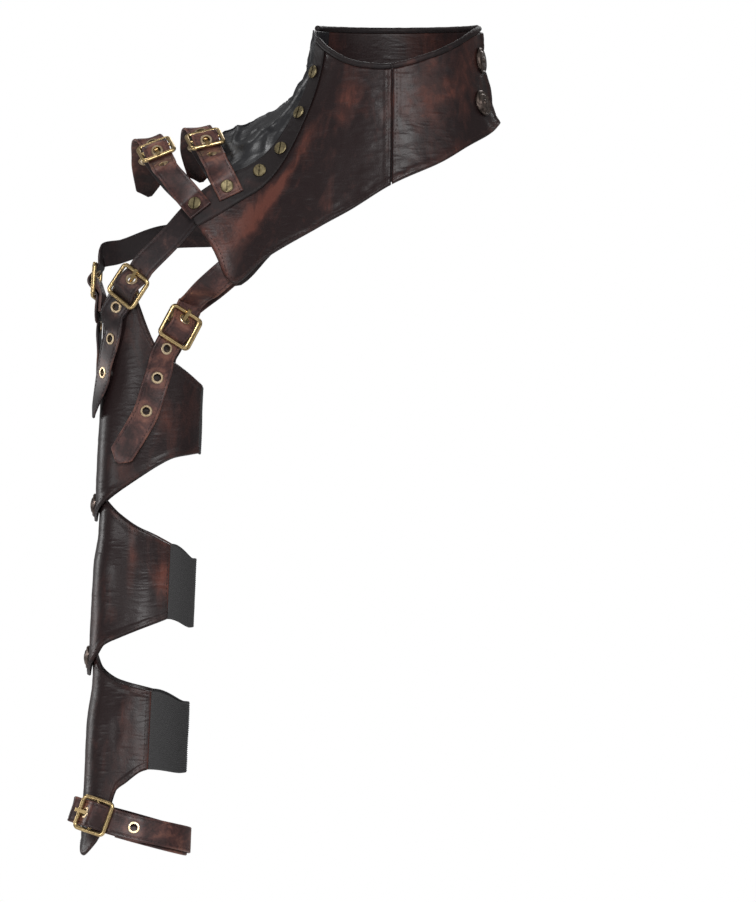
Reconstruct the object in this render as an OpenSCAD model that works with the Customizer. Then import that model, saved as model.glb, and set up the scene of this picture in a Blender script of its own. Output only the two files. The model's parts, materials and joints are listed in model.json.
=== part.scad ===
// One-shoulder leather arm armour: collar and yoke, shoulder and arm straps with
// centre-bar buckles, and three riveted sleeve plates closed by elastic bands.
// Millimetres, +X towards the wearer's left, -Y in front, +Z up, origin in the collar.

/* [Leather] */
// Thickness of the armour leather
leather_t = 2.2; // [1.6:0.1:3]
// Thickness of the soft shoulder panel
soft_t = 1.4; // [1:0.1:2]
// Thickness of a strap
strap_t = 2.0; // [1.6:0.1:2.2]
// Width of a strap
strap_w = 20; // [18:0.5:21]
// Thickness of one layer of a buckle tab
tab_t = 1.2; // [1:0.1:1.3]

/* [Collar] */
// Outer radius of the standing collar
collar_r = 66; // [62:1:72]
// Height of the collar's rim at the front, above the origin
collar_front_z = 45; // [40:1:50]
// Height of the collar's rim at the side and back
collar_side_z = 77; // [70:1:82]
// Radius of the rolled binding on the rim
binding_r = 2.4; // [2:0.1:3]
// Gap between layers that lie over each other
layer_gap = 0.4; // [0.3:0.1:0.6]

/* [Sleeve] */
// Outer radius of the upper arm plate
sleeve_r = 40; // [38:0.5:44]
// Depth of the arm's axis behind the collar's axis
arm_y = 12; // [6:1:16]
// Forward lean of the forearm in degrees
forearm_lean = 13; // [6:1:18]
// Gap between pivoting plates, filled by a washer at the rivet
pivot_gap = 1.2; // [1:0.1:1.4]
// Thickness of the elastic bands
elastic_t = 1.6; // [1.2:0.1:2]
// Height of the upper pivot rivet
upper_pivot_z = -289; // [-292:1:-286]
// Height of the lower pivot rivet
lower_pivot_z = -406; // [-409:1:-403]

/* [Fittings] */
// Distance between the centres of a buckle's end bars
buckle_l = 25; // [24:0.5:28]
// Distance between the centres of a buckle's side bars
buckle_w = 25; // [24.5:0.5:29]
// Radius of the buckle's wire
wire_r = 1.7; // [1.5:0.1:1.9]
// Radius of the buckle's centre bar
pin_r = 1.5; // [1.3:0.1:1.6]
// Thickness and width of the tongue
tongue_t = 1.6; // [1.4:0.1:1.8]
// Bore radius of an eyelet
eyelet_r = 3.0; // [2.8:0.1:3.2]
// Flange radius of an eyelet
eyelet_flange_r = 4.7; // [4.5:0.1:5]
// Radius of a screw head
screw_r = 5; // [4.5:0.1:5.5]
// Radius of a screw's barrel post
screw_post_r = 2.4; // [2:0.1:2.6]
// Radius of an ornate snap cap
snap_r = 10; // [9:0.5:11]
// Radius of an ornate rivet cap
rivet_cap_r = 9; // [8:0.5:10]
// Radius of a pivot rivet's post
rivet_r = 2.5; // [2:0.1:3]
// Radial clearance of a running fit
running_fit = 0.06; // [0.04:0.01:0.09]

/* [Hidden] */
$fn = 48;
strap_names = ["shoulder_outer", "shoulder_inner", "front_outer", "front_inner",
               "back_outer", "back_inner", "wrist"];

// Vectors and interpolation
function unit(v) = v / norm(v);
function mix(a, b, t) = a + (b - a) * t;
function clamp01(t) = min(1, max(0, t));
function smooth(t) = let(c = clamp01(t)) c * c * (3 - 2 * c);
function key_index(keys, x) =
    let(n = [for (i = [0:len(keys) - 1]) if (keys[i][0] <= x) i])
    min(len(keys) - 2, len(n) ? n[len(n) - 1] : 0);
// Smooth curve through rows of [x, values...], by Catmull-Rom between the rows
function curve(keys, x) =
    let(i = key_index(keys, x), n = len(keys) - 1,
        a = keys[max(0, i - 1)], b = keys[i], c = keys[i + 1], d = keys[min(n, i + 2)],
        h = c[0] - b[0], t = clamp01((x - b[0]) / h),
        mb = (c - a) / max(1e-6, c[0] - a[0]) * h, mc = (d - b) / max(1e-6, d[0] - b[0]) * h,
        t2 = t * t, t3 = t2 * t)
    b * (2 * t3 - 3 * t2 + 1) + mb * (t3 - 2 * t2 + t) + c * (3 * t2 - 2 * t3) + mc * (t3 - t2);

// A closed shell between two grids of points with the same rows and columns
module shell(outer, inner) {
    n = len(outer);
    m = len(outer[0]);
    half = n * m;
    points = concat([for (r = outer) each r], [for (r = inner) each r]);
    function at(i, j) = i * m + j;
    skin = [for (i = [0:n - 2], j = [0:m - 2])
        each [[at(i, j), at(i, j + 1), at(i + 1, j + 1)],
              [at(i, j), at(i + 1, j + 1), at(i + 1, j)]]];
    lining = [for (f = skin) [half + f[2], half + f[1], half + f[0]]];
    rim = concat([for (j = [0:m - 2]) [at(0, j), at(0, j + 1)]],
        [for (i = [0:n - 2]) [at(i, m - 1), at(i + 1, m - 1)]],
        [for (j = [m - 1:-1:1]) [at(n - 1, j), at(n - 1, j - 1)]],
        [for (i = [n - 1:-1:1]) [at(i, 0), at(i - 1, 0)]]);
    wall = [for (e = rim) each [[e[1], e[0], half + e[0]], [e[1], half + e[0], half + e[1]]]];
    polyhedron(points, concat(skin, lining, wall));
}

// Collar and yoke: one surface round the neck. Angle 0 is the closure at +X, 90 the
// front, 180 the armoured shoulder; beyond 180 the back mirrors the front.
// Rows: angle, share of the rim's rise, then radius beyond the collar and height of
// the two middle control points and of the outer edge.
yoke_rows = [
    [0, 1.00, 1, 50, 6, 25, 14, 6],
    [25, 0.81, 1, 45, 6, 20, 15, -4],
    [45, 0.53, 1, 38, 7, 10, 14, -14],
    [65, 0.26, 1, 30, 9, 0, 17, -27],
    [92, 0.00, 1, 20, 11, -15, 19, -44],
    [112, 0.03, 1, 20, 13, -25, 25, -63],
    [125, 0.14, 1, 22, 16, -25, 35, -76],
    [145, 0.45, 1, 25, 26, -22, 58, -101],
    [152, 0.59, 1, 24, 33, -20, 75, -119],
    [158, 0.70, 0, 24, 35, -8, 85, -92],
    [164, 0.80, 0, 27, 40, 6, 97, -62],
    [172, 0.92, 0, 30, 20, 15, 79, -22],
    [180, 1.00, 0, 33, 6, 20, 67, 1.5]];
function yoke_point(phi, t) =
    let(back = phi < 0 || phi > 180, q = phi > 180 ? 360 - phi : abs(phi),
        k = curve(yoke_rows, q),
        rim_z = back ? collar_side_z : mix(collar_front_z, collar_side_z, k[1]),
        p = [[collar_r, rim_z], [collar_r + k[2], k[3]], [collar_r + k[4], k[5]],
             [collar_r + k[6], k[7]]],
        s = 1 - t, b = p[0] * s * s * s + p[1] * 3 * s * s * t + p[2] * 3 * s * t * t
            + p[3] * t * t * t)
    [b[0] * cos(phi), -b[0] * sin(phi), b[1]];
function yoke_normal(phi, t) =
    let(e = 0.5, h = 0.01, lo = max(0, t - h), hi = min(1, t + h))
    unit(cross(yoke_point(phi + e, t) - yoke_point(phi - e, t),
               yoke_point(phi, hi) - yoke_point(phi, lo)));
function yoke_at(phi, t, d) = yoke_point(phi, t) + d * yoke_normal(phi, t);
// Angles of the screw row and of the panel's edge beyond it, by share of the way out
screw_row = [[0, 151], [0.17, 152], [0.4, 153.2], [0.58, 154.6], [0.715, 157.4], [0.85, 161],
             [1, 164]];
edge_row = [[0, 157], [0.4, 157.4], [0.58, 157.8], [0.715, 159.8], [0.85, 163], [1, 165.7]];
screw_share = [0.17, 0.4, 0.58, 0.715, 0.85, 0.975];
function screw_phi(t) = curve(screw_row, t)[1];
function edge_phi(t) = curve(edge_row, t)[1];

seam_phi = 92;
// Degrees between the two panels at the centre seam
seam_gap = 1;
flap_end = 6;
yoke_rings = 10;
function ring_t(j) = j / yoke_rings;
// Columns of a panel, each a list of angles by ring. The layers under the screws share
// the columns of the screw band, so that they lie parallel.
function column(phi) = [for (j = [0:yoke_rings]) phi];
function band_column(q) = [for (j = [0:yoke_rings]) let(t = ring_t(j), e = edge_phi(t), s = screw_phi(t))
    mix(2 * s - e - 1, e, q)];
function between(a, b, n) = [for (i = [1:n - 1]) mix(a, b, i / n)];
function mirrored(c) = [for (phi = c) 360 - phi];
function reversed(list) = [for (i = [len(list) - 1:-1:0]) list[i]];
band = [for (q = [0:0.25:1]) band_column(q)];
back_band = reversed([for (c = band) mirrored(c)]);
module panel(columns, top, thick) {
    function skin(d) = [for (c = columns) [for (j = [0:yoke_rings]) yoke_at(c[j], ring_t(j), d)]];
    shell(skin(top), skin(top - thick));
}

// Places children with their Z along n at p, and X near u
module stand(p, n, u = [0, 0, 1]) {
    z = unit(n);
    y = unit(cross(z, u));
    x = cross(y, z);
    multmatrix([[x[0], y[0], z[0], p[0]], [x[1], y[1], z[1], p[1]],
                [x[2], y[2], z[2], p[2]], [0, 0, 0, 1]]) children();
}
module at_screws(back = false) {
    for (t = screw_share) {
        phi = back ? 360 - screw_phi(t) : screw_phi(t);
        // The front row's two outer screws also hold the shoulder straps, on top of the strip
        $raised = !back && t > 0.8 ? strap_t + 0.35 : 0;
        $deep = !back && t > 0.9 ? arm_strap_drop + 0.1 : 0;
        stand(yoke_point(phi, t), yoke_normal(phi, t)) children();
    }
}
strip_t = 1.0;
strip_low = layer_gap;
// Room that a flat strap needs under the curved leather at the last screw
arm_strap_drop = 1.4;
head_low = layer_gap + strip_t + 0.8;
module screw_holes(back = false) {
    at_screws(back) translate([0, 0, -12]) cylinder(r = screw_post_r, h = 24);
}
module screw_heads(back = false) {
    slot_w = 1.1;
    at_screws(back) translate([0, 0, head_low + $raised]) {
        difference() {
            union() {
                cylinder(r = screw_r, h = 0.8);
                translate([0, 0, 0.8]) cylinder(r1 = screw_r, r2 = screw_r - 0.7, h = 0.6);
            }
            translate([-screw_r, -slot_w / 2, 0.7]) cube([2 * screw_r, slot_w, 2]);
        }
        translate([0, 0, -5]) cylinder(r = screw_post_r - 0.9, h = 5);
    }
}
module screw_barrels(back = false) {
    under_soft = -leather_t - 2 * layer_gap - soft_t;
    at_screws(back) difference() {
        low = under_soft - $deep;
        union() {
            translate([0, 0, low - 1.4]) cylinder(r = screw_r - 0.4, h = 0.8);
            translate([0, 0, low - 0.7]) cylinder(r = screw_post_r, h = head_low + $raised - low + 0.7);
        }
        translate([0, 0, low - 0.9]) cylinder(r = screw_post_r - 0.85, h = 20);
    }
}

// Snap caps on the flap: angle and share of the way out
snaps = [[15, 0.27], [25, 0.68]];
module at_snaps() {
    for (s = snaps) stand(yoke_point(s[0], s[1]), yoke_normal(s[0], s[1])) children();
}
snap_post_r = 2;

module front_yoke() {
    color("#3a2422") difference() {
        first = column(seam_phi + seam_gap / 2);
        panel(concat([first], between(first, band[0], 10), band), 0, leather_t);
        screw_holes();
    }
}
module collar_flap() {
    color("#33201f") difference() {
        panel([for (i = [0:14]) column(mix(flap_end, seam_phi - seam_gap / 2, i / 14))], 0, leather_t);
        at_snaps() translate([0, 0, -6]) cylinder(r = snap_post_r, h = 12);
    }
}
// The back panel's front end steps in under the flap to carry the snap studs
underlap_end = 392;
underlap_drop = leather_t + 0.8;
// Share by which the back panel's lower edge lies above the front's
back_cut = 0.07;
module back_yoke() {
    last = back_band[len(back_band) - 1];
    columns = concat(back_band, between(last, column(underlap_end), 26), [column(underlap_end)]);
    grid = [for (c = columns) [for (j = [0:yoke_rings]) let(phi = c[j], u = smooth((phi - 348) / 14),
            cut = back_cut * max(u, smooth((phi - 212) / 12)))
        [phi > 360 ? phi - 360 : phi, mix(0.05 * u, 1 - cut, ring_t(j)), -underlap_drop * u]]];
    color("#332020") difference() {
        shell([for (r = grid) [for (g = r) yoke_at(g[0], g[1], g[2])]],
              [for (r = grid) [for (g = r) yoke_at(g[0], g[1], g[2] - leather_t)]]);
        screw_holes(true);
        at_snaps() translate([0, 0, -12]) cylinder(r = snap_post_r, h = 20);
    }
}
// The soft panel stops short of the armour's outer edge, and reaches its own hem on top
soft_rings = 8;
module soft_skin() {
    n = 10;
    top = -leather_t - layer_gap;
    bridge = [for (i = [1:n - 1]) [for (j = [0:soft_rings]) let(u = i / n, k = sin(180 * u))
        [mix(band[4][j], back_band[0][j], u), ring_t(j) * (1 + 0.25 * k)]]];
    function flat_rings(list) = [for (c = list) [for (j = [0:soft_rings]) [c[j], ring_t(j)]]];
    grid = concat(flat_rings(band), bridge, flat_rings(back_band));
    function skin(d) = [for (c = grid) [for (g = c) yoke_at(g[0], g[1], d)]];
    shell(skin(top), skin(top - soft_t));
}
module shoulder_panel() {
    color("#222022") difference() {
        soft_skin();
        screw_holes();
        screw_holes(true);
    }
}
module strip(back) {
    difference() {
        panel(back ? back_band : band, strip_low + strip_t, strip_t);
        screw_holes(back);
    }
}
module front_strip() { color("#241a1b") strip(false); }
module back_strip() { color("#241a1b") strip(true); }
module front_screws() { color("#9a8550") screw_heads(); }
module front_screw_posts() { color("#8a7748") screw_barrels(); }
module back_screws() { color("#9a8550") screw_heads(true); }
module back_screw_posts() { color("#8a7748") screw_barrels(true); }
module snap_caps() {
    color("#4a4238") at_snaps() {
        translate([0, 0, 0.4]) rotate_extrude() polygon([[0, 0], [snap_r, 0], [snap_r, 1.2],
            [snap_r - 1, 2.2], [snap_r - 2.2, 1.6], [snap_r - 4, 2.8], [2.6, 2.8], [1.6, 3.6], [0, 3.8]]);
        translate([0, 0, -leather_t]) cylinder(r = snap_post_r, h = leather_t + 0.5);
    }
}
module snap_studs() {
    low = -underlap_drop - leather_t;
    color("#6a6048") at_snaps() {
        translate([0, 0, low - 1.3]) cylinder(r = 5, h = 0.8);
        translate([0, 0, low - 1.3]) cylinder(r = snap_post_r - 0.1, h = leather_t + 1.6);
    }
}

// Rolled binding: a tube along the rim
function tube_ring(p, n, b, r, k) = [for (i = [0:k - 1]) p + r * (cos(360 * i / k) * n + sin(360 * i / k) * b)];
module tube(path, r, k = 8) {
    n = len(path);
    dirs = [for (i = [0:n - 1]) unit(path[min(n - 1, i + 1)] - path[max(0, i - 1)])];
    rings = [for (i = [0:n - 1]) let(side = unit(cross(dirs[i], [0, 0, 1])))
        tube_ring(path[i], side, cross(side, dirs[i]), r, k)];
    points = concat([for (r = rings) each r], [path[0], path[n - 1]]);
    sides = [for (i = [0:n - 2], j = [0:k - 1]) let(a = i * k + j, b = i * k + (j + 1) % k)
        each [[a, b, b + k], [a, b + k, a + k]]];
    ends = [for (j = [0:k - 1]) each [[(j + 1) % k, j, n * k],
        [(n - 1) * k + j, (n - 1) * k + (j + 1) % k, n * k + 1]]];
    polyhedron(points, concat(sides, ends));
}
function rim_path(a, b, n, d) = [for (i = [0:n]) let(phi = mix(a, b, i / n))
    yoke_at(phi, 0, -leather_t / 2) + [0, 0, d]];
binding_lift = binding_r + 0.35;
module collar_binding() {
    color("#1f1718") {
        tube(rim_path(seam_phi + seam_gap / 2, edge_phi(0) - 1, 14, binding_lift), binding_r);
        tube(rim_path(202, 348, 26, binding_lift), binding_r);
    }
}
module flap_binding() {
    color("#1f1718") tube(rim_path(flap_end, seam_phi - seam_gap / 2, 14, binding_lift), binding_r);
}

// Sleeve: horizontal sections of a tube down the arm, squarer on the outer side so
// that the riveted plates can turn on each other
sleeve_x = -184;
sleeve_top = -120;
sleeve_slope = 17 / 420;
elbow_z = -354;
function arm_x(z) = sleeve_x + sleeve_slope * (z - sleeve_top);
// The forearm leans forward below the elbow, with a smooth bend
elbow_bend = 24;
function arm_depth(z) = let(d = elbow_z - z)
    arm_y - tan(forearm_lean) * (abs(d) < elbow_bend ? pow(d + elbow_bend, 2) / (4 * elbow_bend) : max(0, d));
function sleeve_point(a, z, r) =
    let(w = smooth((0.2 - cos(a)) / 1.2) * smooth((-190 - z) / 60), n = 2 + 1.7 * w,
        q = r / pow(pow(abs(cos(a)), n) + pow(abs(sin(a)), n), 1 / n))
    [arm_x(z) + q * cos(a), arm_depth(z) - q * sin(a), z];
function sleeve_normal(a, z, r) =
    unit(cross(sleeve_point(a + 1, z, r) - sleeve_point(a - 1, z, r),
               sleeve_point(a, z - 1, r) - sleeve_point(a, z + 1, r)));
function mirror_a(a) = a > 180 ? 360 - a : abs(a);

// Each plate: edges as rows of [angle, height], and its outer radius by angle and height
inner_step = leather_t + pivot_gap;
// A lower plate steps in under its neighbour, on the outer side where they turn on each other
function tuck(a, z, pivot) = smooth((mirror_a(a) - 96) / 26) * (1 - smooth((pivot - 20 - z) / 30));
function elbow_radius(a, z) = sleeve_r - inner_step * tuck(a, z, upper_pivot_z);
function forearm_radius(a, z) = sleeve_r - 0.5 - (inner_step - 0.5) * tuck(a, z, lower_pivot_z);
upper_top = [[15, -197], [35, -191], [60, -181], [78, -173], [90, -164], [100, -150],
    [112, -131], [122, -120], [135, -117], [150, -124], [165, -131], [180, -133]];
upper_low = [[15, -249], [40, -250.5], [63, -253], [80, -258.5], [97, -266], [117, -276],
    [137, -287], [160, -297], [180, -302]];
elbow_top = [[60, -319], [82, -311.5], [101, -305.5], [121, -296.5], [137, -287],
    [155, -279], [180, -276]];
elbow_low = [[60, -376], [90, -383.5], [114, -390.5], [130, -396.5], [141, -406],
    [160, -415], [180, -420]];
forearm_top = [[75, -431], [90, -428.5], [105, -425.8], [120, -422], [136, -414],
    [146, -406], [160, -398], [180, -394]];
forearm_low = [[75, -490.5], [85, -493], [99, -500.5], [111, -508], [116, -520],
    [120, -533], [128, -546], [145, -556], [160, -553], [180, -546]];
upper_seam = 18;
elbow_seam = 60;
forearm_seam = 75;
plate_rows = 6;
// Angles of a plate's columns, closer together where the outline turns
function columns(seam, n) = [for (i = [0:n]) mix(seam, 360 - seam, i / n)];
module plate(seam, top, low, kind, n) {
    function radius(a, z) = kind == 0 ? sleeve_r : kind == 1 ? elbow_radius(a, z) : forearm_radius(a, z);
    grid = [for (a = columns(seam, n)) let(m = mirror_a(a), zt = curve(top, m)[1], zl = curve(low, m)[1])
        [for (j = [0:plate_rows]) [a, mix(zt, zl, j / plate_rows)]]];
    shell([for (r = grid) [for (g = r) sleeve_point(g[0], g[1], radius(g[0], g[1]))]],
          [for (r = grid) [for (g = r) sleeve_point(g[0], g[1], radius(g[0], g[1]) - leather_t)]]);
}
// A pivot's frame: on the outer side at height z, with Z outwards along its pin
pivot_axis = unit([-1, 0, sleeve_slope]);
module at_pivot(z, r) { stand(sleeve_point(180, z, r), pivot_axis) children(); }
module pivot_hole(z, r) { at_pivot(z, sleeve_r) translate([0, 0, -14]) cylinder(r = r, h = 22); }
module upper_plate() {
    color("#2b1d1f") difference() {
        plate(upper_seam, upper_top, upper_low, 0, 37);
        pivot_hole(upper_pivot_z, rivet_r);
    }
}
module elbow_plate() {
    color("#2b1d1f") difference() {
        plate(elbow_seam, elbow_top, elbow_low, 1, 31);
        pivot_hole(upper_pivot_z, rivet_r + running_fit);
        pivot_hole(lower_pivot_z, rivet_r);
    }
}
module forearm_plate() {
    color("#2b1d1f") difference() {
        plate(forearm_seam, forearm_top, forearm_low, 2, 31);
        pivot_hole(lower_pivot_z, rivet_r + running_fit);
    }
}
// An elastic band from one seam of a plate to the other, round the inner side
module elastic(seam, top, low, kind, inner_top, inner_low, ribs) {
    function radius(a, z) = kind == 0 ? sleeve_r : kind == 1 ? elbow_radius(a, z) : forearm_radius(a, z);
    zt = curve(top, seam)[1];
    zl = curve(low, seam)[1];
    grid = [for (i = [0:ribs]) let(a = mix(-seam + 0.4, seam - 0.4, i / ribs), u = 1 - abs(a) / seam)
        [for (j = [0:4]) [a, mix(mix(zt, inner_top, smooth(u * 1.5)), mix(zl, inner_low, smooth(u * 1.5)), j / 4)]]];
    low_d = (leather_t - elastic_t) / 2;
    shell([for (r = grid) [for (g = r) sleeve_point(g[0], g[1], radius(g[0], g[1]) - low_d)]],
          [for (r = grid) [for (g = r) sleeve_point(g[0], g[1], radius(g[0], g[1]) - low_d - elastic_t)]]);
}
module upper_elastic() { color("#1c1c1e") elastic(upper_seam, upper_top, upper_low, 0, -198, -250, 8); }
module elbow_elastic() { color("#2d2f2e") elastic(elbow_seam, elbow_top, elbow_low, 1, -330, -383, 20); }
module forearm_elastic() { color("#2d2f2e") elastic(forearm_seam, forearm_top, forearm_low, 2, -440, -494, 24); }

// A pivot rivet: domed cap outside, post through both plates, flange inside
module rivet(z) {
    low = -2 * leather_t - pivot_gap;
    at_pivot(z, sleeve_r) {
        rotate_extrude() polygon([[0, low - 1.2], [6, low - 1.2], [6, low - 0.3], [rivet_r, low - 0.3],
            [rivet_r, 0.2], [rivet_cap_r, 0.2], [rivet_cap_r, 1.2], [rivet_cap_r - 1.2, 2.2],
            [rivet_cap_r - 2.4, 1.8], [rivet_cap_r - 4, 3.2], [1.5, 4], [0, 4]]);
    }
}
module washer(z) {
    at_pivot(z, sleeve_r) translate([0, 0, -leather_t - pivot_gap + 0.1]) difference() {
        cylinder(r = 6, h = pivot_gap - 0.2);
        translate([0, 0, -1]) cylinder(r = rivet_r, h = pivot_gap + 2);
    }
}
module upper_rivet() { color("#6a5a3a") rivet(upper_pivot_z); }
module upper_washer() { color("#8a7748") washer(upper_pivot_z); }
module lower_rivet() { color("#6a5a3a") rivet(lower_pivot_z); }
module lower_washer() { color("#8a7748") washer(lower_pivot_z); }

// Buckles: a square frame with a centre bar. In a buckle's own frame u runs along the
// strap towards its tail, v across it and n outwards, with the bars' centres at n = 0.
// The strap goes under the first end bar, over the centre bar and under the second.
half_l = buckle_l / 2;
half_w = buckle_w / 2;
skin_gap = 0.1;
tab_r = pin_r + skin_gap + tab_t;
eyelet_flange_t = 0.45;
under = wire_r + strap_t / 2 + 0.15;
ring_r = pin_r + running_fit + tongue_t;
over = max(tab_r, ring_r) + eyelet_flange_t + strap_t / 2 + 0.15;
rise = asin((under + over) / half_l);
tab_top = -under - strap_t / 2 - eyelet_flange_t - skin_gap;
tab_low = tab_top - 2 * tab_t;
tab_mid = (tab_top + tab_low) / 2;
seat = -tab_low + 0.3;
// The eyelet that holds the tongue, on the slope between the first bar and the centre bar
slope_start = [-half_l + under * sin(rise), -under * cos(rise)];
eyelet_way = eyelet_flange_r + 1.1;
tongue_eye = slope_start + eyelet_way * [cos(rise), sin(rise)];
tongue_rest = [-half_l, wire_r + 0.15 + tongue_t / 2];
tongue_angle = atan2(tongue_rest[1] - tongue_eye[1], tongue_eye[0] - tongue_rest[0]);

function ortho(n, u) = unit(u - n * (u * n));
// A frame is [origin, u, n]
function frame(p, u, n) = let(z = unit(n)) [p, ortho(z, u), z];
function place(f, u, n) = f[0] + u * f[1] + n * f[2];
function turn(f, u, n) = u * f[1] + n * f[2];
function hump(f, flat_l = 13) = concat(
    [for (u = [-half_l - 8, -half_l - 2]) [place(f, u, -under), f[2], 1]],
    [for (q = [0, 0.5, 1]) let(b = q * rise)
        [place(f, -half_l + under * sin(b), -under * cos(b)), turn(f, -sin(b), cos(b)), 1]],
    [for (q = [-1, -0.5, 0, 0.5, 1]) let(b = q * rise)
        [place(f, over * sin(b), over * cos(b)), turn(f, sin(b), cos(b)), 1]],
    [for (q = [1, 0.5, 0]) let(b = q * rise)
        [place(f, half_l - under * sin(b), -under * cos(b)), turn(f, sin(b), cos(b)), 1]],
    [for (u = [half_l + 2, half_l + max(3, flat_l)]) [place(f, u, -under), f[2], 1]]);
// A flat strip through stations of [point, normal, share of the width]
module ribbon(s, w, t) {
    n = len(s);
    dirs = [for (i = [0:n - 1]) unit(s[min(n - 1, i + 1)][0] - s[max(0, i - 1)][0])];
    rows = [for (i = [0:n - 1]) let(v = unit(cross(dirs[i], s[i][1])), up = cross(v, dirs[i]),
        a = v * w * s[i][2] / 2, b = up * t / 2, p = s[i][0]) [p + a + b, p - a + b, p - a - b, p + a - b]];
    sides = [for (i = [0:n - 2], j = [0:3]) let(a = 4 * i + j, b = 4 * i + (j + 1) % 4)
        each [[a, b, b + 4], [a, b + 4, a + 4]]];
    last = 4 * n - 4;
    ends = [[0, 2, 1], [0, 3, 2], [last, last + 1, last + 2], [last, last + 2, last + 3]];
    polyhedron([for (r = rows) each r], concat(sides, ends));
}
// Puts children in a frame, with X along u, Z along n
module in_frame(f) {
    v = cross(f[2], f[1]);
    multmatrix([[f[1][0], v[0], f[2][0], f[0][0]], [f[1][1], v[1], f[2][1], f[0][1]],
                [f[1][2], v[2], f[2][2], f[0][2]], [0, 0, 0, 1]]) children();
}
module bar(r, l) { rotate([-90, 0, 0]) translate([0, 0, -l / 2]) cylinder(r = r, h = l); }
corner_r = 3;
module buckle(f) {
    color("#c8a864") in_frame(f) {
        for (s = [-1, 1]) {
            translate([s * half_l, 0, 0]) bar(wire_r, buckle_w - 2 * corner_r);
            translate([0, s * half_w, 0]) rotate([0, 90, 0])
                translate([0, 0, corner_r - half_l]) cylinder(r = wire_r, h = buckle_l - 2 * corner_r);
            for (q = [-1, 1]) translate([s * (half_l - corner_r), q * (half_w - corner_r), 0])
                rotate([0, 0, s > 0 ? (q > 0 ? 0 : -90) : (q > 0 ? 90 : 180)])
                rotate_extrude(angle = 90) translate([corner_r, 0]) circle(r = wire_r);
        }
        bar(pin_r, buckle_w);
    }
}
ring_w = 3;
tongue_w = 2.8;
tongue_tip = 3;
// Along the tongue from the centre bar to its tip, then across its thickness
function on_tongue(l, h) = tongue_eye + [-cos(tongue_angle), sin(tongue_angle)] * l
    + [sin(tongue_angle), cos(tongue_angle)] * h;
module extrude_v(w) { translate([0, w / 2, 0]) rotate([90, 0, 0]) linear_extrude(w) children(); }
module tongue(f) {
    h = tongue_t / 2;
    root_l = -norm(tongue_eye) + pin_r + 0.6;
    tip_l = norm(tongue_rest - tongue_eye) + tongue_tip;
    color("#c8a864") in_frame(f) difference() {
        union() {
            extrude_v(ring_w) circle(r = ring_r);
            extrude_v(tongue_w) polygon([on_tongue(root_l, -h), on_tongue(root_l, h),
                on_tongue(tip_l - 1, h), on_tongue(tip_l, 0), on_tongue(tip_l, -h)]);
        }
        bar(pin_r + running_fit, 2 * ring_w);
    }
}
tab_w = strap_w - 1;
tab_l = half_l + 12;
tab_slot = ring_w + 0.8;
module tab_loop(f, l) {
    knee = [tab_r * sin(rise) + (tab_r * cos(rise) - tab_top) / tan(rise), tab_top];
    heel = [half_l - 3, tab_low];
    b = atan2(heel[1], heel[0]) - acos(tab_r / norm(heel));
    in_frame(f) difference() {
        union() {
            extrude_v(tab_w) circle(r = tab_r);
            extrude_v(tab_w) polygon([[0, 0], tab_r * [sin(rise), cos(rise)], knee, [l, tab_top],
                [l, tab_low], heel, tab_r * [cos(b), sin(b)]]);
        }
        bar(pin_r + skin_gap, 2 * tab_w);
        translate([-tab_r - 1, -tab_slot / 2, -9]) cube([2 * tab_r + 2.2, tab_slot, 18]);
    }
}
module eyelet(p, n, gap = 0) {
    wall = 0.6;
    stand(p, n) difference() {
        union() {
            cylinder(r = eyelet_r + wall, h = strap_t + 0.4, center = true);
            for (s = [0, 180]) rotate([s, 0, 0]) translate([0, 0, strap_t / 2 + 0.02])
                cylinder(r1 = eyelet_flange_r, r2 = eyelet_flange_r - 0.5, h = eyelet_flange_t);
        }
        cylinder(r = eyelet_r, h = 12, center = true);
    }
}
function tongue_hole(f) = [place(f, tongue_eye[0], tongue_eye[1]), turn(f, -sin(rise), cos(rise))];
module strap(path, holes) {
    difference() {
        ribbon(path, strap_w, strap_t);
        for (h = holes) stand(h[0], h[1]) cylinder(r = eyelet_r + 0.6, h = 6, center = true);
    }
}

// Where each strap lies on the sleeve: a frame at angle a and height z, turned by b
// from straight down towards the outer side, with its origin d above the plates
function on_sleeve(a, z, d, b, r = sleeve_r) =
    let(n = sleeve_normal(a, z, r), down = ortho(n, [0, 0, -1]), side = cross(n, down))
    [sleeve_point(a, z, r) + d * n, cos(b) * down - sin(b) * side, n];
// Two stations that keep the strap flat under an eyelet
function flat(f) = [for (u = [-5.5, 5.5]) [place(f, u, 0), f[2], 1]];
function point_end(f) = [[place(f, -7, 0), f[2], 1], [place(f, 0, 0), f[2], 0.16]];
function behind(f) = frame([f[0][0], 2 * arm_y - f[0][1], f[0][2]],
    [f[1][0], -f[1][1], f[1][2]], [f[2][0], -f[2][1], f[2][2]]);
function under_yoke(phi, t, d = 0) = [yoke_at(phi, t, -leather_t - layer_gap - strap_t / 2 - 0.2 - d),
    yoke_normal(phi, t), 1];
lay = strap_t / 2 + 1.2;
outer_turn = [[-157, -35, -54.5], [-0.25, -0.88, 0.4], 1];
// Stations of a strap that lies on the strip with a screw through it, and runs off towards a point
function on_screw(t, s, to) =
    let(phi = screw_phi(t), n = yoke_normal(phi, t), rise = strip_low + strip_t + 0.25 + strap_t / 2,
        p = yoke_at(phi, t, rise))
    [p + s * ortho(n, to - p), n, 1];
function under_screw(t, s, to) = let(w = on_screw(t, s, to))
    [w[0] - (strip_low + strip_t + 0.25 + arm_strap_drop + strap_t + leather_t + layer_gap) * w[1], w[1], 1];
function to_back(s) = [[s[0][0], -s[0][1], s[0][2]], [s[1][0], -s[1][1], s[1][2]], s[2]];

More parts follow.
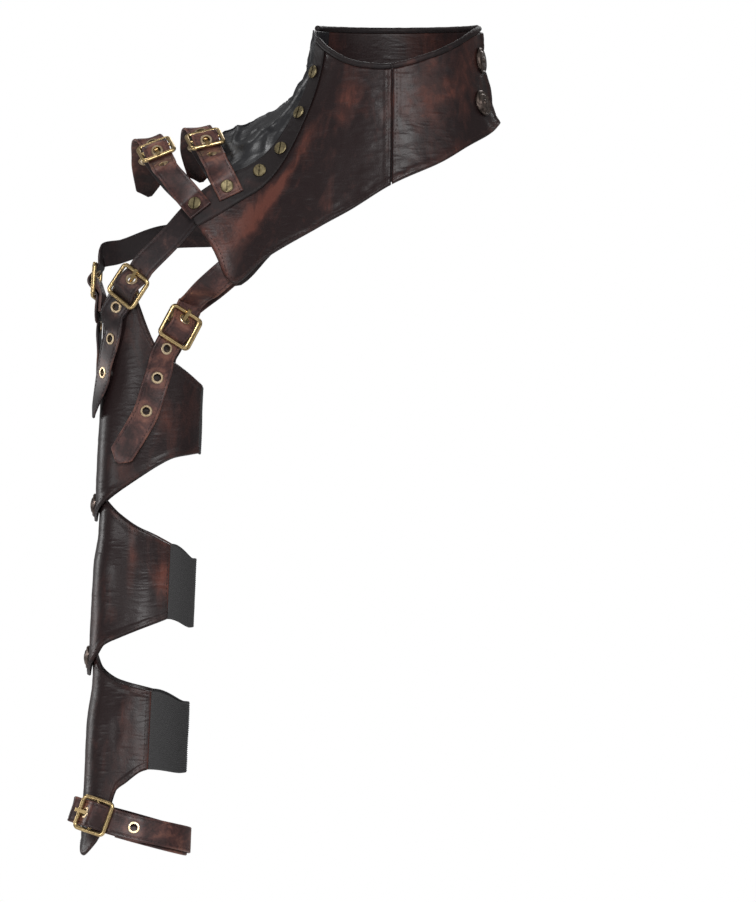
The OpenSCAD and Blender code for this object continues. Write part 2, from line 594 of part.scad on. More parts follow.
// Buckle frames, from the photographed places
frames = [
    frame([-183.5, -18, -15.5], [-0.25, 0.8, 0.5], [-0.3, -0.45, 0.84]),
    frame([-146, -18, -7.5], [-0.22, 0.82, 0.5], [-0.15, -0.45, 0.88]),
    on_sleeve(116, -121, seat, 36),
    on_sleeve(65, -151.7, seat, 30),
    on_sleeve(190, -117, seat, -8),
    behind(on_sleeve(65, -151.7, seat, 30)),
    on_sleeve(127, -527, seat, -74, sleeve_r - 0.5)];

function on_wrist(a, z, b) = on_sleeve(a, z, seat - under, b, sleeve_r - 0.5);
// Angle of the wrist strap's eyelet, which lies past the end of the tab at any sleeve radius
wrist_eye_a = 127 - 1560 / sleeve_r;
// Tails past each buckle, as the frames of their eyelets and then of their tip
tails = [
    [frame([-193, 18, -8.5], [-0.15, 1, -0.25], [-0.15, 0.25, 1]),
     frame([-194, 41, -22], [0, 0.7, -0.7], [-0.2, 0.7, 0.7]),
     frame([-190, 57, -50], [0.15, 0.35, -0.9], [-0.3, 0.9, 0.3])],
    [frame([-154.5, 18, 0], [-0.15, 1, -0.2], [-0.05, 0.2, 1]),
     frame([-156, 39, -12], [0, 0.7, -0.7], [-0.05, 0.7, 0.7]),
     frame([-150, 53, -39], [0.15, 0.35, -0.9], [-0.1, 0.9, 0.35])],
    [on_sleeve(140, -161, lay + 0.2, 20), on_sleeve(149, -187, lay + 1.3, 16),
     on_sleeve(160, -222, lay + 2.6, 16)],
    [on_sleeve(84, -191, lay, 18), on_sleeve(94, -216.5, lay, 22), on_sleeve(122, -256, lay + 0.8, 34)],
    [on_sleeve(187, -152, lay + 1, -4), on_sleeve(184, -178, lay, -4), on_sleeve(181, -209, lay, -4)],
    [behind(on_sleeve(84, -191, lay, 18)), behind(on_sleeve(94, -216.5, lay, 22)),
     behind(on_sleeve(122, -256, lay + 0.8, 34))],
    [on_wrist(wrist_eye_a, -535.6, -77), on_wrist(-34, -545.5, -94), on_wrist(-64, -543.3, -96)]];
// Each shoulder strap's eyelet before its buckle, in the buckle's own plane
function before(f) = [place(f, -half_l - 14, -under), f[1], f[2]];
shoulder_eye = before(frames[0]);
second_eye = before(frames[1]);
wrist_round = [for (a = [105:-9.9:-192]) let(x = arm_x(-540) + sleeve_r * cos(a))
    on_sleeve(a, -527 - 0.286 * (x + 232), seat + tab_mid, -90, sleeve_r - 0.5)];
// Paths up to each buckle
leads = [
    concat([for (s = [-8, 0, 8]) on_screw(0.975, s, shoulder_eye[0])], flat(shoulder_eye)),
    concat([for (s = [-8, 0, 8]) on_screw(0.85, s, second_eye[0])], flat(second_eye)),
    concat([for (s = [-7, 0, 7]) under_screw(0.975, s, [-192, -33, -104])],
           [[[-172, -39.5, -84], [-0.4, -0.9, 0.15], 1]]),
    [under_yoke(152, 0.92), [[-138, -56, -118], [0.1, -0.95, 0], 1]],
    [under_yoke(201, 0.96, strap_t + 0.8), [[-180, 46, -82], [-0.4, 0.85, 0.3], 1],
     [[-212, 36, -93], [-0.75, 0.6, 0.25], 1]],
    [under_yoke(208, 0.92, 1.1), [[-139, 56, -119], [0.1, 0.95, 0], 1]],
    [for (f = wrist_round) [f[0], f[2], 1]]];
// The wrist strap's tail passes round the inner side, between its two eyelets
wrist_turn = [for (r = [[68, -538.5, -80], [50, -541, -83], [33, -543, -86], [16, -544.5, -89],
                        [0, -545.5, -91], [-16, -545.7, -93]])
    let(f = on_wrist(r[0], r[1], r[2])) [f[0], f[2], 1]];
function strap_path(k) = concat(leads[k], hump(frames[k], k == 6 ? 3 : 13), flat(tails[k][0]), k == 6 ? wrist_turn : [],
    flat(tails[k][1]), point_end(tails[k][2]));
near_eye = half_l + wire_r + eyelet_flange_r + 0.6;
function lead_eyes(k) = k == 0 ? [shoulder_eye] : k == 1 ? [second_eye] : [];
function strap_eyes(k) = concat([tongue_hole(frames[k])],
    k == 6 ? [] : [[place(frames[k], near_eye, -under), frames[k][2]]],
    [for (f = concat([tails[k][0], tails[k][1]], lead_eyes(k))) [f[0], f[2]]]);
function tab_end(k) =
    k == 0 ? [[[-189, 8.5, -11.5], [-0.3, -0.1, 1], 1], [[-190, 16, -13.5], [-0.15, 0.3, 1], 1],
              [[-186, 30, -22], [0, 0.6, 0.8], 1],
              [[-173, 38, -38], [0, 0.95, 0.3], 1], to_back(outer_turn), under_yoke(197.5, 0.98, 1.7)] :
    k == 1 ? [[[-152, 8.5, -3], [-0.12, -0.05, 1], 1], [[-153, 16, -5], [0, 0.25, 1], 1],
              [[-150, 30, -12], [0, 0.5, 0.86], 1],
              [[-141, 38.5, -26], [0, 0.95, 0.3], 1], under_yoke(197, 0.86, 2.8),
              under_yoke(199.4, 0.9, 2.6)] : [];
strap_colour = ["#5a3634", "#5a3634", "#2e2224", "#5e3733", "#3c2827", "#5e3733", "#4a2d2b"];
// Room for the posts' flanges where a tab is held under the yoke
module post_room(back) { at_screws(back) translate([0, 0, -12]) cylinder(r = screw_r - 0.1, h = 12); }
module strap_node(k) {
    color(strap_colour[k]) difference() {
        strap(strap_path(k), strap_eyes(k));
        if (k < 3) screw_holes();
    }
}
module tab_node(k) {
    f = frames[k];
    color("#2a1e20") difference() {
        union() {
            tab_loop(f, k == 6 ? half_l + 1.5 : tab_l);
            if (k < 2) ribbon(concat([[place(f, tab_l - 2, tab_mid), f[2], 1]], tab_end(k)),
                tab_w - 1, 2 * tab_t - 0.2);
        }
        if (k < 2) post_room(true);
    }
}
module eyelets_node(k) { color("#9a8048") for (e = strap_eyes(k)) eyelet(e[0], e[1]); }

front_yoke();
collar_flap();
back_yoke();
collar_binding();
flap_binding();
shoulder_panel();
front_strip();
back_strip();
front_screws();
front_screw_posts();
back_screws();
back_screw_posts();
snap_caps();
snap_studs();
upper_plate();
upper_elastic();
elbow_plate();
elbow_elastic();
forearm_plate();
forearm_elastic();
upper_rivet();
upper_washer();
lower_rivet();
lower_washer();
for (k = [0:len(strap_names) - 1]) {
    name = strap_names[k];
    strap_node(k);
    buckle(frames[k]);
    tongue(frames[k]);
    tab_node(k);
    eyelets_node(k);
}
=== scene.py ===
"""Looks of the leather arm armour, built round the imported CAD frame."""

import json
import math
import bmesh
import bpy
import numpy as np
from mathutils import Matrix, Vector, noise

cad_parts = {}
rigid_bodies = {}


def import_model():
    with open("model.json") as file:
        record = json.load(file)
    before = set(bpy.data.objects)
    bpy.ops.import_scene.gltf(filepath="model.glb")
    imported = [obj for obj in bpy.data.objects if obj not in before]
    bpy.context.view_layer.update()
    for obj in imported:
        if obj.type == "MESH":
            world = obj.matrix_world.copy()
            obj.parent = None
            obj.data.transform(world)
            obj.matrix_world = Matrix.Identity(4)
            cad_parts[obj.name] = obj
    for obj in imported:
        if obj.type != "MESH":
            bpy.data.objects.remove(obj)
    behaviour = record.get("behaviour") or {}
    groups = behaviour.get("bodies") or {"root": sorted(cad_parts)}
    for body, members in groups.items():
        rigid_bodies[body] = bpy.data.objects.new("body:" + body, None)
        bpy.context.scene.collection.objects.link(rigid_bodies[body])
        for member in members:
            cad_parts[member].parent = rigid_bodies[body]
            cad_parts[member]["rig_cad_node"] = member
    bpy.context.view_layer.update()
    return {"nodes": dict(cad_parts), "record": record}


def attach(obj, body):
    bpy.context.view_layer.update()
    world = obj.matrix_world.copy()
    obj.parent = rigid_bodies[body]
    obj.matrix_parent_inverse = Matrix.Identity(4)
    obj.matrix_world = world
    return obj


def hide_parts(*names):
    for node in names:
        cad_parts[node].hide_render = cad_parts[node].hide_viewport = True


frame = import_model()

# Forms shared with the CAD source, in millimetres
LEATHER, SOFT, STRAP, STRAP_W, GAP = 2.2, 1.4, 2.0, 20.0, 0.4
COLLAR_R, FRONT_Z, SIDE_Z = 66.0, 45.0, 77.0
SLEEVE_R, ARM_Y, LEAN = 40.0, 12.0, math.tan(math.radians(13))
SLEEVE_X, SLEEVE_TOP, SLOPE, ELBOW_Z, BEND = -184.0, -120.0, 17 / 420, -354.0, 24.0
UPPER_PIVOT, LOWER_PIVOT, STEP = -289.0, -406.0, 3.4


def mix(a, b, t):
    return a + (b - a) * t


def smooth(t):
    c = np.clip(t, 0, 1)
    return c * c * (3 - 2 * c)


def bell(x, width):
    """A smooth peak of 1 where x is 0."""
    return np.exp(-(x / width) ** 2)


def spot(x, wide, y, tall):
    """A smooth round or oval peak of 1 where x and y are 0."""
    return np.exp(-((x / wide) ** 2 + (y / tall) ** 2))


def unit(v):
    v = np.asarray(v, float)
    return v / np.linalg.norm(v, axis=-1, keepdims=True)


def curve(keys, x):
    """Smooth curve through rows of [x, values...]; returns the row at every x."""
    k, x = np.asarray(keys, float), np.asarray(x, float)
    i = np.clip(np.searchsorted(k[:, 0], x, side="right") - 1, 0, len(k) - 2)
    a, b, c, d = k[np.maximum(i - 1, 0)], k[i], k[i + 1], k[np.minimum(i + 2, len(k) - 1)]
    h = (c - b)[..., :1]
    t = np.clip((x[..., None] - b[..., :1]) / h, 0, 1)
    mb = (c - a) / np.maximum(1e-6, (c - a)[..., :1]) * h
    mc = (d - b) / np.maximum(1e-6, (d - b)[..., :1]) * h
    return b * (2 * t**3 - 3 * t**2 + 1) + mb * (t**3 - 2 * t**2 + t) + c * (3 * t**2 - 2 * t**3) + mc * (t**3 - t**2)


# Profile of the yoke at each angle: share of the rim's rise, then how far out and how high each lower
# control point is
YOKE = [[0, 1.00, 1, 50, 6, 25, 14, 6], [25, 0.81, 1, 45, 6, 20, 15, -4], [45, 0.53, 1, 38, 7, 10, 14, -14],
        [65, 0.26, 1, 30, 9, 0, 17, -27], [92, 0.00, 1, 20, 11, -15, 19, -44], [112, 0.03, 1, 20, 13, -25, 25, -63],
        [125, 0.14, 1, 22, 16, -25, 35, -76], [145, 0.45, 1, 25, 26, -22, 58, -101],
        [152, 0.59, 1, 24, 33, -20, 75, -119], [158, 0.70, 0, 24, 35, -8, 85, -92], [164, 0.80, 0, 27, 40, 6, 97, -62],
        [172, 0.92, 0, 30, 20, 15, 79, -22], [180, 1.00, 0, 33, 6, 20, 67, 1.5]]
# Angle of the row of screws, and of the yoke's edge beside it, at each share of the way down
SCREW_ROW = [[0, 151], [0.17, 152], [0.4, 153.2], [0.58, 154.6], [0.715, 157.4], [0.85, 161], [1, 164]]
EDGE_ROW = [[0, 157], [0.4, 157.4], [0.58, 157.8], [0.715, 159.8], [0.85, 163], [1, 165.7]]


def yoke_point(phi, t):
    phi, t = np.broadcast_arrays(np.asarray(phi, float), np.asarray(t, float))
    back = (phi < 0) | (phi > 180)
    k = curve(YOKE, np.where(phi > 180, 360 - phi, np.abs(phi)))
    rim = np.where(back, SIDE_Z, mix(FRONT_Z, SIDE_Z, k[..., 1]))
    s = 1 - t
    w = [s**3, 3 * s * s * t, 3 * s * t * t, t**3]
    r = w[0] * COLLAR_R + w[1] * (COLLAR_R + k[..., 2]) + w[2] * (COLLAR_R + k[..., 4]) + w[3] * (COLLAR_R + k[..., 6])
    z = w[0] * rim + w[1] * k[..., 3] + w[2] * k[..., 5] + w[3] * k[..., 7]
    a = np.radians(phi)
    return np.stack([r * np.cos(a), -r * np.sin(a), z], -1)


def yoke_normal(phi, t):
    lo, hi = np.maximum(0, t - 0.01), np.minimum(1, t + 0.01)
    return unit(np.cross(yoke_point(phi + 0.5, t) - yoke_point(phi - 0.5, t),
                         yoke_point(phi, hi) - yoke_point(phi, lo)))


def arm_x(z):
    return SLEEVE_X + SLOPE * (z - SLEEVE_TOP)


def arm_depth(z):
    d = ELBOW_Z - z
    bend = np.where(np.abs(d) < BEND, (d + BEND) ** 2 / (4 * BEND), np.maximum(0, d))
    return ARM_Y - LEAN * bend


def sleeve_point(a, z, r=SLEEVE_R):
    a, z, r = np.broadcast_arrays(np.asarray(a, float), np.asarray(z, float), np.asarray(r, float))
    c, s = np.cos(np.radians(a)), np.sin(np.radians(a))
    n = 2 + 1.7 * smooth((0.2 - c) / 1.2) * smooth((-190 - z) / 60)
    q = r / (np.abs(c) ** n + np.abs(s) ** n) ** (1 / n)
    return np.stack([arm_x(z) + q * c, arm_depth(z) - q * s, z], -1)


def sleeve_normal(a, z, r=SLEEVE_R):
    return unit(np.cross(sleeve_point(a + 1, z, r) - sleeve_point(a - 1, z, r),
                         sleeve_point(a, z - 1, r) - sleeve_point(a, z + 1, r)))


# Meshes
EDGE_FADE = 1.2


def nearest(values, x):
    return int(np.argmin(np.abs(values - x)))


def rows_and_columns(pairs):
    return tuple(np.array(pairs).T)


def travelled(path):
    """Distance travelled along a path of points, at each point."""
    return np.concatenate([[0], np.cumsum(np.linalg.norm(np.diff(path, axis=0), axis=1))])


def fbm(points, size, octaves=3, seed=0.0):
    """Smooth noise about -1 to 1 at each point, with features of about size mm."""
    flat = points.reshape(-1, 3) / size + seed
    v = np.array([noise.fractal(Vector(p), 1.0, 2.0, octaves) for p in flat])
    return v.reshape(points.shape[:-1])


def mesh_object(name, verts_mm, faces, material, body, wear=None, smooth_shade=True):
    mesh = bpy.data.meshes.new(name)
    mesh.from_pydata((np.asarray(verts_mm, float) / 1000).tolist(), [], faces)
    mesh.update()
    if wear is not None:
        attribute = mesh.attributes.new("wear", "FLOAT", "POINT")
        attribute.data.foreach_set("value", np.asarray(wear, np.float32))
    mesh.polygons.foreach_set("use_smooth", [smooth_shade] * len(mesh.polygons))
    mesh.materials.append(material)
    o = bpy.data.objects.new(name, mesh)
    bpy.context.scene.collection.objects.link(o)
    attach(o, body)
    return o


def grid_faces(n, m, offset=0, flip=False, wrap=False):
    out = []
    for i in range(n - 1):
        for j in range(m if wrap else m - 1):
            k = (j + 1) % m
            f = [offset + i * m + j, offset + i * m + k, offset + (i + 1) * m + k, offset + (i + 1) * m + j]
            out.append(f[::-1] if flip else f)
    return out


def steps(length, size, edge=1.1):
    """Shares of the way along length mm: close at both ends to round the edge, even between."""
    fine = np.array([0, 0.12, 0.4, 0.8, 1.3, 2.2]) * edge / length
    inner = np.linspace(fine[-1], 1 - fine[-1], max(3, int(length / size)))
    return np.concatenate([fine[:-1], inner, 1 - fine[:-1][::-1]])


def along(p, axis):
    """Distance in mm along an axis of a grid of points."""
    d = np.linalg.norm(np.diff(p, axis=axis), axis=-1)
    z = np.zeros_like(np.take(d, [0], axis=axis))
    return np.cumsum(np.concatenate([z, d], axis=axis), axis=axis)


def edge_distances(p):
    a, b = along(p, 0), along(p, 1)
    return a, a[-1:, :] - a, b, b[:, -1:] - b


def rounding(dist, r):
    x = np.clip(dist, 0, r)
    return r - np.sqrt(np.maximum(0, r * r - (r - x) ** 2))


def hide(name, p, n, top, thick, material, body, bump=0.0, lining=0.0, wear=0.0):
    """A sheet of leather over a grid of points p with normals n, its edges rounded.
    bump is added outside and lining inside, in mm; wear from 0 to 1 shows as rub-off."""
    d = np.minimum.reduce(edge_distances(p))
    cut = rounding(d, thick / 2)
    fade = smooth(d / EDGE_FADE)
    out = p + n * (top - cut + bump * fade)[..., None]
    ins = p + n * (top - thick + cut + lining * fade)[..., None]
    rows, cols = p.shape[:2]
    half = rows * cols
    faces = grid_faces(rows, cols) + grid_faces(rows, cols, half, True)
    rim = [(i, 0) for i in range(rows - 1, 0, -1)] + [(0, j) for j in range(cols - 1)]
    rim += [(i, cols - 1) for i in range(rows - 1)] + [(rows - 1, j) for j in range(cols - 1, 0, -1)]
    rim = [i * cols + j for i, j in rim]
    for a, b in zip(rim, rim[1:] + rim[:1]):
        faces.append([b, a, half + a, half + b])
    w = np.broadcast_to(wear, (rows, cols)).reshape(-1)
    verts = np.concatenate([out.reshape(-1, 3), ins.reshape(-1, 3)])
    o = mesh_object(name, verts, faces, material, body, np.concatenate([w, 0 * w]))
    return o, out


def hem(d, width=5.0, high=0.8):
    """Height of a turned hem at distance d from the edge, with a stitched groove."""
    return high * (1 - smooth((d - width) / 1.2)) - 0.45 * bell(d - width * 0.72, 0.5)


def puckers(p, d, seed):
    """Small waves where stitches draw the leather in, at distance d from the edge."""
    return 0.38 * fbm(p, 8.0, 2, seed) * bell(d - 6, 4.5)


# Materials
def blank(material_name):
    m = bpy.data.materials.new(material_name)
    m.use_nodes = True
    return m


def node(m, kind, **values):
    """A new shader node: its properties and inputs are set by name."""
    n = m.node_tree.nodes.new(kind)
    for k, v in values.items():
        if hasattr(n, k) and k not in n.inputs:
            setattr(n, k, v)
        else:
            n.inputs[k.replace("_", " ")].default_value = v
    return n


def link(m, a, out, b, into):
    m.node_tree.links.new(a.outputs[out], b.inputs[into])


def ramp(m, source, out, stops):
    r = node(m, "ShaderNodeValToRGB")
    for element, (pos, col) in zip(r.color_ramp.elements, (stops[0], stops[-1])):
        element.position, element.color = pos, (*col, 1)
    for pos, col in stops[1:-1]:
        r.color_ramp.elements.new(pos).color = (*col, 1)
    link(m, source, out, r, "Fac")
    return r


def weighted(m, source, out, share, base, base_out):
    """The source times a share, plus the base."""
    n = node(m, "ShaderNodeMath", operation="MULTIPLY_ADD")
    link(m, source, out, n, 0)
    n.inputs[1].default_value = share
    link(m, base, base_out, n, 2)
    return n


def set_range(n, side, low, high):
    n.inputs[side + " Min"].default_value, n.inputs[side + " Max"].default_value = low, high


def relief(m, shader, height, out, depth):
    bump = node(m, "ShaderNodeBump", Strength=0.5, Distance=depth)
    link(m, height, out, bump, "Height")
    link(m, bump, "Normal", shader, "Normal")


def leather(name, dark, mid, rub, rough=0.36, patch=14.0, grain=900.0, rub_level=0.74, grain_depth=0.00012,
            coat=0.08, specular=0.3, run=(1, 1, 1), crease=0.0, folds=(330.0, (0.3, 0.3, 1))):
    """Dark aniline leather: cloudy colour, rubbed patches, more rub where the wear attribute rises.
    run stretches the clouds, crease is the height of its fine folds, and folds their density and stretch."""
    m = blank(name)
    shader = m.node_tree.nodes["Principled BSDF"]
    coords = node(m, "ShaderNodeTexCoord")
    drawn, lines = node(m, "ShaderNodeMapping", Scale=run), node(m, "ShaderNodeMapping", Scale=folds[1])
    for n in (drawn, lines):
        link(m, coords, "Object", n, "Vector")
    cloud = node(m, "ShaderNodeTexNoise", Scale=patch, Detail=6.0, Roughness=0.62, Distortion=0.6)
    streak = node(m, "ShaderNodeTexNoise", Scale=patch * 5, Detail=5.0, Roughness=0.7, Distortion=1.2)
    fine = node(m, "ShaderNodeTexVoronoi", Scale=grain)
    soft = node(m, "ShaderNodeTexNoise", Scale=grain * 0.4, Detail=3.0)
    folded = node(m, "ShaderNodeTexNoise", noise_type="RIDGED_MULTIFRACTAL", Scale=folds[0], Detail=3.0,
                  Roughness=0.6)
    for n, source, out in ((cloud, drawn, "Vector"), (streak, drawn, "Vector"), (fine, coords, "Object"),
                           (soft, coords, "Object"), (folded, lines, "Vector")):
        link(m, source, out, n, "Vector")
    wear = node(m, "ShaderNodeAttribute", attribute_name="wear")
    cloudy = weighted(m, streak, "Fac", 0.45, cloud, "Fac")
    rubbed = weighted(m, wear, "Fac", 0.55, cloudy, "Value")
    colour = ramp(m, rubbed, "Value", [(rub_level, dark), (rub_level + 0.13, mid), (rub_level + 0.38, rub)])
    link(m, colour, "Color", shader, "Base Color")
    gloss = node(m, "ShaderNodeMapRange")
    set_range(gloss, "From", 0.3, 0.9)
    set_range(gloss, "To", rough - 0.07, rough + 0.14)
    link(m, cloudy, "Value", gloss, "Value")
    link(m, gloss, "Result", shader, "Roughness")
    pebbled = weighted(m, fine, "Distance", 0.8, soft, "Fac")
    relief(m, shader, weighted(m, folded, "Fac", crease, pebbled, "Value"), "Value", grain_depth)
    shader.inputs["Specular IOR Level"].default_value = specular
    shader.inputs["Coat Weight"].default_value = coat
    shader.inputs["Coat Roughness"].default_value = 0.3
    return m


def brass(name, bright, dark, rough, painted_hollow_shade=False):
    m = blank(name)
    shader = m.node_tree.nodes["Principled BSDF"]
    cloud = node(m, "ShaderNodeTexNoise", Scale=260.0, Detail=5.0, Roughness=0.6)
    link(m, node(m, "ShaderNodeTexCoord"), "Object", cloud, "Vector")
    metal = ramp(m, cloud, "Fac", [(0.35, dark), (0.63, bright)])
    link(m, metal, "Color", shader, "Base Color")
    if painted_hollow_shade:
        # painted shade: ambient occlusion darkens the slots and corners, standing in for their shadow
        near = node(m, "ShaderNodeAmbientOcclusion", samples=3, Distance=0.0025)
        hollow_shade = ramp(m, near, "AO", [(0.4, (0.02, 0.018, 0.016)), (0.85, (1, 1, 1))])
        both = node(m, "ShaderNodeMix", data_type="RGBA", blend_type="MULTIPLY")
        both.inputs["Factor"].default_value = 1.0
        # the mix node's colour sockets have these numbers
        link(m, metal, "Color", both, 6)
        link(m, hollow_shade, "Color", both, 7)
        link(m, both, 2, shader, "Base Color")
    shader.inputs["Metallic"].default_value = 1.0
    gloss = node(m, "ShaderNodeMapRange")
    set_range(gloss, "To", rough + 0.16, rough - 0.05)
    link(m, cloud, "Fac", gloss, "Value")
    link(m, gloss, "Result", shader, "Roughness")
    return m


def plain(name, colour, rough, specular, depth=0.0001):
    m = blank(name)
    shader = m.node_tree.nodes["Principled BSDF"]
    shader.inputs["Base Color"].default_value = (*colour, 1)
    shader.inputs["Roughness"].default_value = rough
    shader.inputs["Specular IOR Level"].default_value = specular
    if depth:
        n = node(m, "ShaderNodeTexNoise", Scale=900.0, Detail=3.0)
        link(m, node(m, "ShaderNodeTexCoord"), "Object", n, "Vector")
        relief(m, shader, n, "Fac", depth)
    return m


DARK, MID, RUST = (0.0165, 0.0090, 0.0092), (0.042, 0.0165, 0.014), (0.108, 0.035, 0.025)
M = {
    "armour_leather": leather("armour_leather", DARK, MID, RUST, rough=0.34, run=(1, 1, 0.4), crease=5.0, coat=0.0),
    "soft_black": leather("soft_black", (0.011, 0.011, 0.013), (0.017, 0.017, 0.02), (0.04, 0.036, 0.038),
                          rough=0.37, grain=700.0, coat=0.0, specular=0.6, crease=4.0, folds=(60.0, (1, 1, 0.7))),
    "trim_leather": leather("trim_leather", (0.012, 0.0085, 0.009), (0.022, 0.012, 0.012), (0.07, 0.03, 0.025),
                            rough=0.48, specular=0.25, coat=0.0, crease=5.0, folds=(210.0, (1, 1, 1))),
    "strap_leather": leather("strap_leather", (0.026, 0.0125, 0.012), (0.066, 0.027, 0.024), (0.20, 0.085, 0.06),
                             rough=0.38, patch=30.0, rub_level=0.66),
    "dark_strap": leather("dark_strap", (0.017, 0.011, 0.012), (0.035, 0.019, 0.019), (0.10, 0.05, 0.04),
                          rough=0.38, patch=30.0),
    "elastic_web": plain("elastic_web", (0.050, 0.049, 0.050), 0.8, 0.2),
    "buckle_brass": brass("buckle_brass", (0.58, 0.43, 0.21), (0.42, 0.30, 0.15), 0.27),
    # antique and ornate brass get painted shade darkening their slots, reliefs and corners
    "antique_brass": brass("antique_brass", (0.36, 0.30, 0.17), (0.12, 0.095, 0.055), 0.44, painted_hollow_shade=True),
    "eyelet_brass": brass("eyelet_brass", (0.66, 0.53, 0.36), (0.40, 0.29, 0.17), 0.33),
    "ornate_brass": brass("ornate_brass", (0.27, 0.21, 0.18), (0.06, 0.045, 0.04), 0.3, painted_hollow_shade=True),
    "thread": plain("thread", (0.030, 0.017, 0.016), 0.7, 0.3, depth=0),
}
SLOTS = {s["node"]: s["material_slot"] for s in frame["record"]["subparts"]}
for o in frame["nodes"].values():
    o.data.materials.clear()
    o.data.materials.append(M["eyelet_brass" if o["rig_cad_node"].endswith("_eyelets") else SLOTS[o["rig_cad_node"]]])


# Stage, light and camera
LIGHTS = [  # name, place, target, size in metres, watts
    ("key", (0.1, -2.3, 0.9), (-0.1, 0, -0.15), 0.7, 36), ("fill", (1.6, -1.5, 0.5), (0, 0, -0.2), 1.2, 7),
    ("strip", (-1.5, -1.6, -0.3), (-0.15, 0, -0.4), 0.25, 9), ("rim", (-1.8, 0.9, -0.1), (-0.2, 0, -0.3), 0.5, 7),
    ("top", (-1.1, 0.3, 1.7), (-0.12, 0, 0), 0.4, 7), ("back", (0.4, 1.9, 0.9), (0, 0, -0.1), 1.2, 14)]
FLOOR_R, FLOOR_X, FLOOR_Z = 1.25, -0.1, -0.78


def stage():
    floor = bpy.data.meshes.new("floor")
    ring = [(FLOOR_R * math.cos(math.radians(a)) + FLOOR_X, FLOOR_R * math.sin(math.radians(a)), FLOOR_Z)
            for a in range(0, 360, 6)]
    floor.from_pydata(ring, [], [tuple(range(len(ring)))])
    floor.materials.append(plain("floor_white", (0.9, 0.9, 0.9), 0.9, 0.0, depth=0))
    o = bpy.data.objects.new("floor", floor)
    bpy.context.scene.collection.objects.link(o)
    world = bpy.data.worlds.new("studio")
    bpy.context.scene.world = world
    world.use_nodes = True
    tree = world.node_tree
    around = tree.nodes["Background"]
    around.inputs[0].default_value, around.inputs[1].default_value = (1, 1, 1, 1), 0.2
    # the backdrop is seen white, and lights the part less than it shows
    white, seen, pick = [tree.nodes.new("ShaderNode" + k) for k in ("Background", "LightPath", "MixShader")]
    white.inputs[0].default_value = (1, 1, 1, 1)
    tree.links.new(seen.outputs["Is Camera Ray"], pick.inputs[0])
    tree.links.new(around.outputs[0], pick.inputs[1])
    tree.links.new(white.outputs[0], pick.inputs[2])
    tree.links.new(pick.outputs[0], tree.nodes["World Output"].inputs[0])
    for name, at, look, size, power in LIGHTS:
        light = bpy.data.lights.new(name, "AREA")
        light.size, light.energy = size, power
        l = bpy.data.objects.new(name, light)
        l.location = at
        l.rotation_euler = (Vector(look) - Vector(at)).to_track_quat("-Z", "Y").to_euler()
        bpy.context.scene.collection.objects.link(l)
    cam = bpy.data.cameras.new("camera")
    cam.lens, cam.sensor_width, cam.clip_end = 414.7, 36, 200
    c = bpy.data.objects.new("camera", cam)
    c.location, c.rotation_euler = (-0.0131, -8.0, -0.2472), (math.radians(90), 0, 0)
    bpy.context.scene.collection.objects.link(c)
    bpy.context.scene.camera = c
    bpy.context.scene.view_settings.view_transform = "Standard"


stage()


# Collar, yoke and shoulder panel
# A row of stitches: pitch, length of each and radius of the thread
HEM_STITCH, SEAM_STITCH = (3.6, 2.9, 0.33), (3.4, 2.7, 0.33)
PLATE_STITCH, STRAP_STITCH = (3.6, 2.8, 0.3), (3.2, 2.5, 0.27)
# Distance of a row from the edge of a hem, a seam and a strap
HEM_LINE, SEAM_LINE, STRAP_LINE = 3.6, 3.2, 2.3
# The front panel starts and the flap ends beside the centre seam, and the flap starts at its free end
YOKE_START, FLAP_END, FLAP_START = 92.2, 91.8, 6.0
# Angle and share of the way down of the two snap caps
SNAPS = ((15, 0.27), (25, 0.68))
STRIP_T, STRIP_UP = 1.0, 1.0
BINDING_R, BINDING_END_R, BINDING_UP = 2.35, 1.6, 2.1


def stitches(name, p, n, thread, body):
    """Thread stitches along a path of points p with normals n."""
    pitch, length, radius = thread
    sides = 6
    way = travelled(p)
    verts, faces = [], []
    for k in range(int(way[-1] / pitch)):
        start = k * pitch + 0.1
        s = np.array([start, start + length * 0.5, start + length])
        c = np.stack([np.interp(s, way, p[:, i]) for i in range(3)], -1)
        up = unit(np.stack([np.interp(s, way, n[:, i]) for i in range(3)], -1))
        side = unit(np.cross(up, unit(c[2] - c[0])))
        lift = np.array([-0.5, 0.35, -0.5]) * radius
        wide = np.array([0.45, 1.0, 0.45]) * radius
        base = len(verts)
        for i in range(3):
            for q in range(sides):
                a = math.radians(360 / sides * q)
                verts.append(c[i] + up[i] * (lift[i] + wide[i] * math.sin(a)) + side[i] * wide[i] * math.cos(a))
        faces += grid_faces(3, sides, base, False, True)
        faces += [[base + q for q in range(sides - 1, -1, -1)], [base + 2 * sides + q for q in range(sides)]]
    mesh_object(name, verts, faces, M["thread"], body)


def screw_phi(t):
    return curve(SCREW_ROW, t)[..., 1]


def edge_phi(t):
    return curve(EDGE_ROW, t)[..., 1]


def band_phi(q, t):
    """Angle across the strip under the screws: 1 at the yoke's edge, 0 on its other side."""
    e, s = edge_phi(t), screw_phi(t)
    return mix(2 * s - e - 1, e, q)


def yoke_grid(side_a, side_b, size):
    """Share of the way down and angle, on a grid between two edges given as angles at each share."""
    mid = np.linspace(0, 1, 60)
    level = np.full(60, 0.7)
    row = yoke_point(mix(side_a(level), side_b(level), mid), level)
    col = yoke_point(mix(side_a(mid), side_b(mid), 0.5), mid)
    u = steps(along(row[:, None], 0)[-1, 0], size)
    v = steps(along(col[:, None], 0)[-1, 0], size)
    uu, vv = np.meshgrid(u, v, indexing="ij")
    return vv, mix(side_a(vv), side_b(vv), uu)


def creases(p, seed, size=(1, 1, 1)):
    """Wrinkles: thin ridges of noise, stretched by size."""
    return 1 - np.abs(fbm(p * np.array(size), 22.0, 3, seed)) * 2.2


def rumple(p, seed, crease_seed):
    return 0.45 * fbm(p, 30.0, 3, seed) + 0.3 * creases(p, crease_seed, (1, 1, 2.4))


